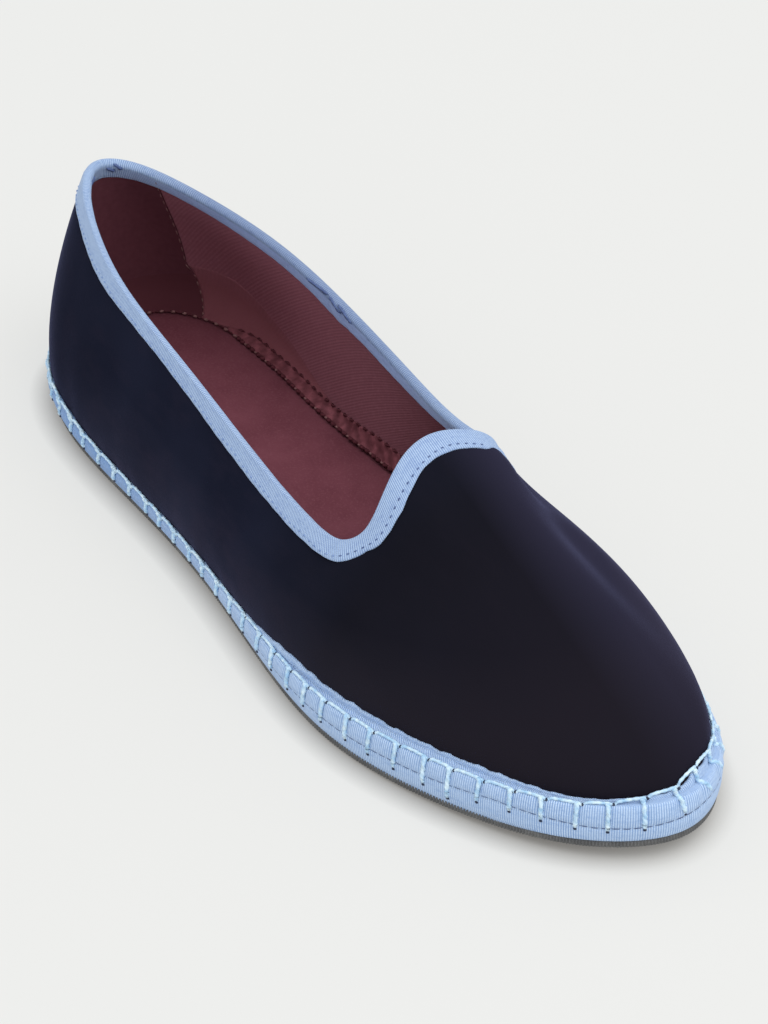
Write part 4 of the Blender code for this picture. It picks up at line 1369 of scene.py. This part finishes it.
# %% Tread
TREAD_INSET, TREAD_POINTS, TREAD_TOP, TREAD_WALL = 6.4, 360, 1.9, 1.85
TREAD_ALONG, TREAD_ACROSS, TREAD_SIZE = 120, 24, (240.0, 60.0)
tread_turns = np.linspace(0.0, 1.0, TREAD_POINTS + 1)[:-1]
tread_line = SOLE_EDGE(tread_turns)[:, :2] - outward(tread_turns) * TREAD_INSET


def tread_surface(along, across):
    x, y = fill_outline(tread_line, along, across)
    return np.column_stack([x, y, ground(x) + TREAD_TOP])


tread = cut_cloth(TREAD_ALONG, TREAD_ACROSS, tread_surface, TREAD_SIZE)
bmesh.ops.dissolve_degenerate(tread, dist=WELD, edges=tread.edges[:])
add_piece("tread", tread, rubber, wall=TREAD_WALL)

# %% [markdown]
# ## Studio
# A pale floor that runs far out and glows evenly, dimmed near the shoe into a painted contact shadow,
# an even sky and one broad soft light from above. Several small lamps could light the shoe too, but
# each would draw its own hard shadow on the floor. The camera stands above the outer side of the toe
# with a long lens, which keeps near and far parts in proportion.

# %% Floor
FLOOR_HALF = 6.0
PAPER_GLOW = (1.0, 1.005, 0.98)
floor_shape = bmesh.new()
bmesh.ops.create_grid(floor_shape, x_segments=1, y_segments=1, size=FLOOR_HALF)
floor_mesh = bpy.data.meshes.new("studio_floor")
floor_shape.to_mesh(floor_mesh)
floor_shape.free()
studio_floor = bpy.data.objects.new("studio_floor", floor_mesh)
bpy.context.scene.collection.objects.link(studio_floor)
glowing_floor = Finish(
    "pale_glowing_floor", (0.22, 0.22, 0.218), 0.95,
    Specular_IOR_Level=0.0, Emission_Color=(*PAPER_GLOW, 1.0), Emission_Strength=0.57,
)
# painted shadow: an ambient occlusion node dims the floor's glow close to the shoe into a contact shadow
close_by = glowing_floor.node("AmbientOcclusion", {"samples": 16}, Distance=0.007).outputs["AO"]
shade = glowing_floor.blend(glowing_floor.spread(close_by, 0.25, 1.0), (0.27, 0.258, 0.24), PAPER_GLOW)
glowing_floor.feed(glowing_floor.shader["Emission Color"], shade)
floor_mesh.materials.append(glowing_floor.material)
print("floor", 2 * FLOOR_HALF, "m wide")

# %% Sky and light
SKY_COLOUR, SKY_STRENGTH = (0.98, 0.99, 1.0, 1.0), 1.05
LAMP_SIZE, LAMP_WATTS, LAMP_SPOT = 1.3, 9.0, (0.6, 0.3, 1.4)
world = bpy.data.worlds.new("studio_sky")
bpy.context.scene.world = world
world.use_nodes = True
sky = world.node_tree.nodes["Background"]
sky.inputs["Color"].default_value = SKY_COLOUR
sky.inputs["Strength"].default_value = SKY_STRENGTH
bpy.context.scene.view_settings.view_transform = "Standard"


def aim_at(holder, spot, aim):
    """Puts a light or camera at a spot, turned onto its aim."""
    holder.location = spot
    holder.rotation_euler = (Vector(aim) - Vector(spot)).to_track_quat("-Z", "Y").to_euler()
    bpy.context.scene.collection.objects.link(holder)


lamp = bpy.data.lights.new("overhead_softbox", "AREA")
lamp.shape, lamp.size, lamp.energy = "DISK", LAMP_SIZE, LAMP_WATTS
aim_at(bpy.data.objects.new("overhead_softbox", lamp), LAMP_SPOT, (0.0, 0.0, 0.0))
print(lamp.name, lamp.energy, "W")

# %% Camera
LENS, CAMERA_SPOT, CAMERA_AIM = 158.0, (0.7384, -0.4804, 0.6836), (0.0009, 0.0075, 0.0183)
camera_data = bpy.data.cameras.new("studio_camera")
camera_data.lens = LENS
camera = bpy.data.objects.new("studio_camera", camera_data)
aim_at(camera, CAMERA_SPOT, CAMERA_AIM)
bpy.context.scene.camera = camera
print("camera", tuple(round(v, 3) for v in camera.location), "lens", camera_data.lens)
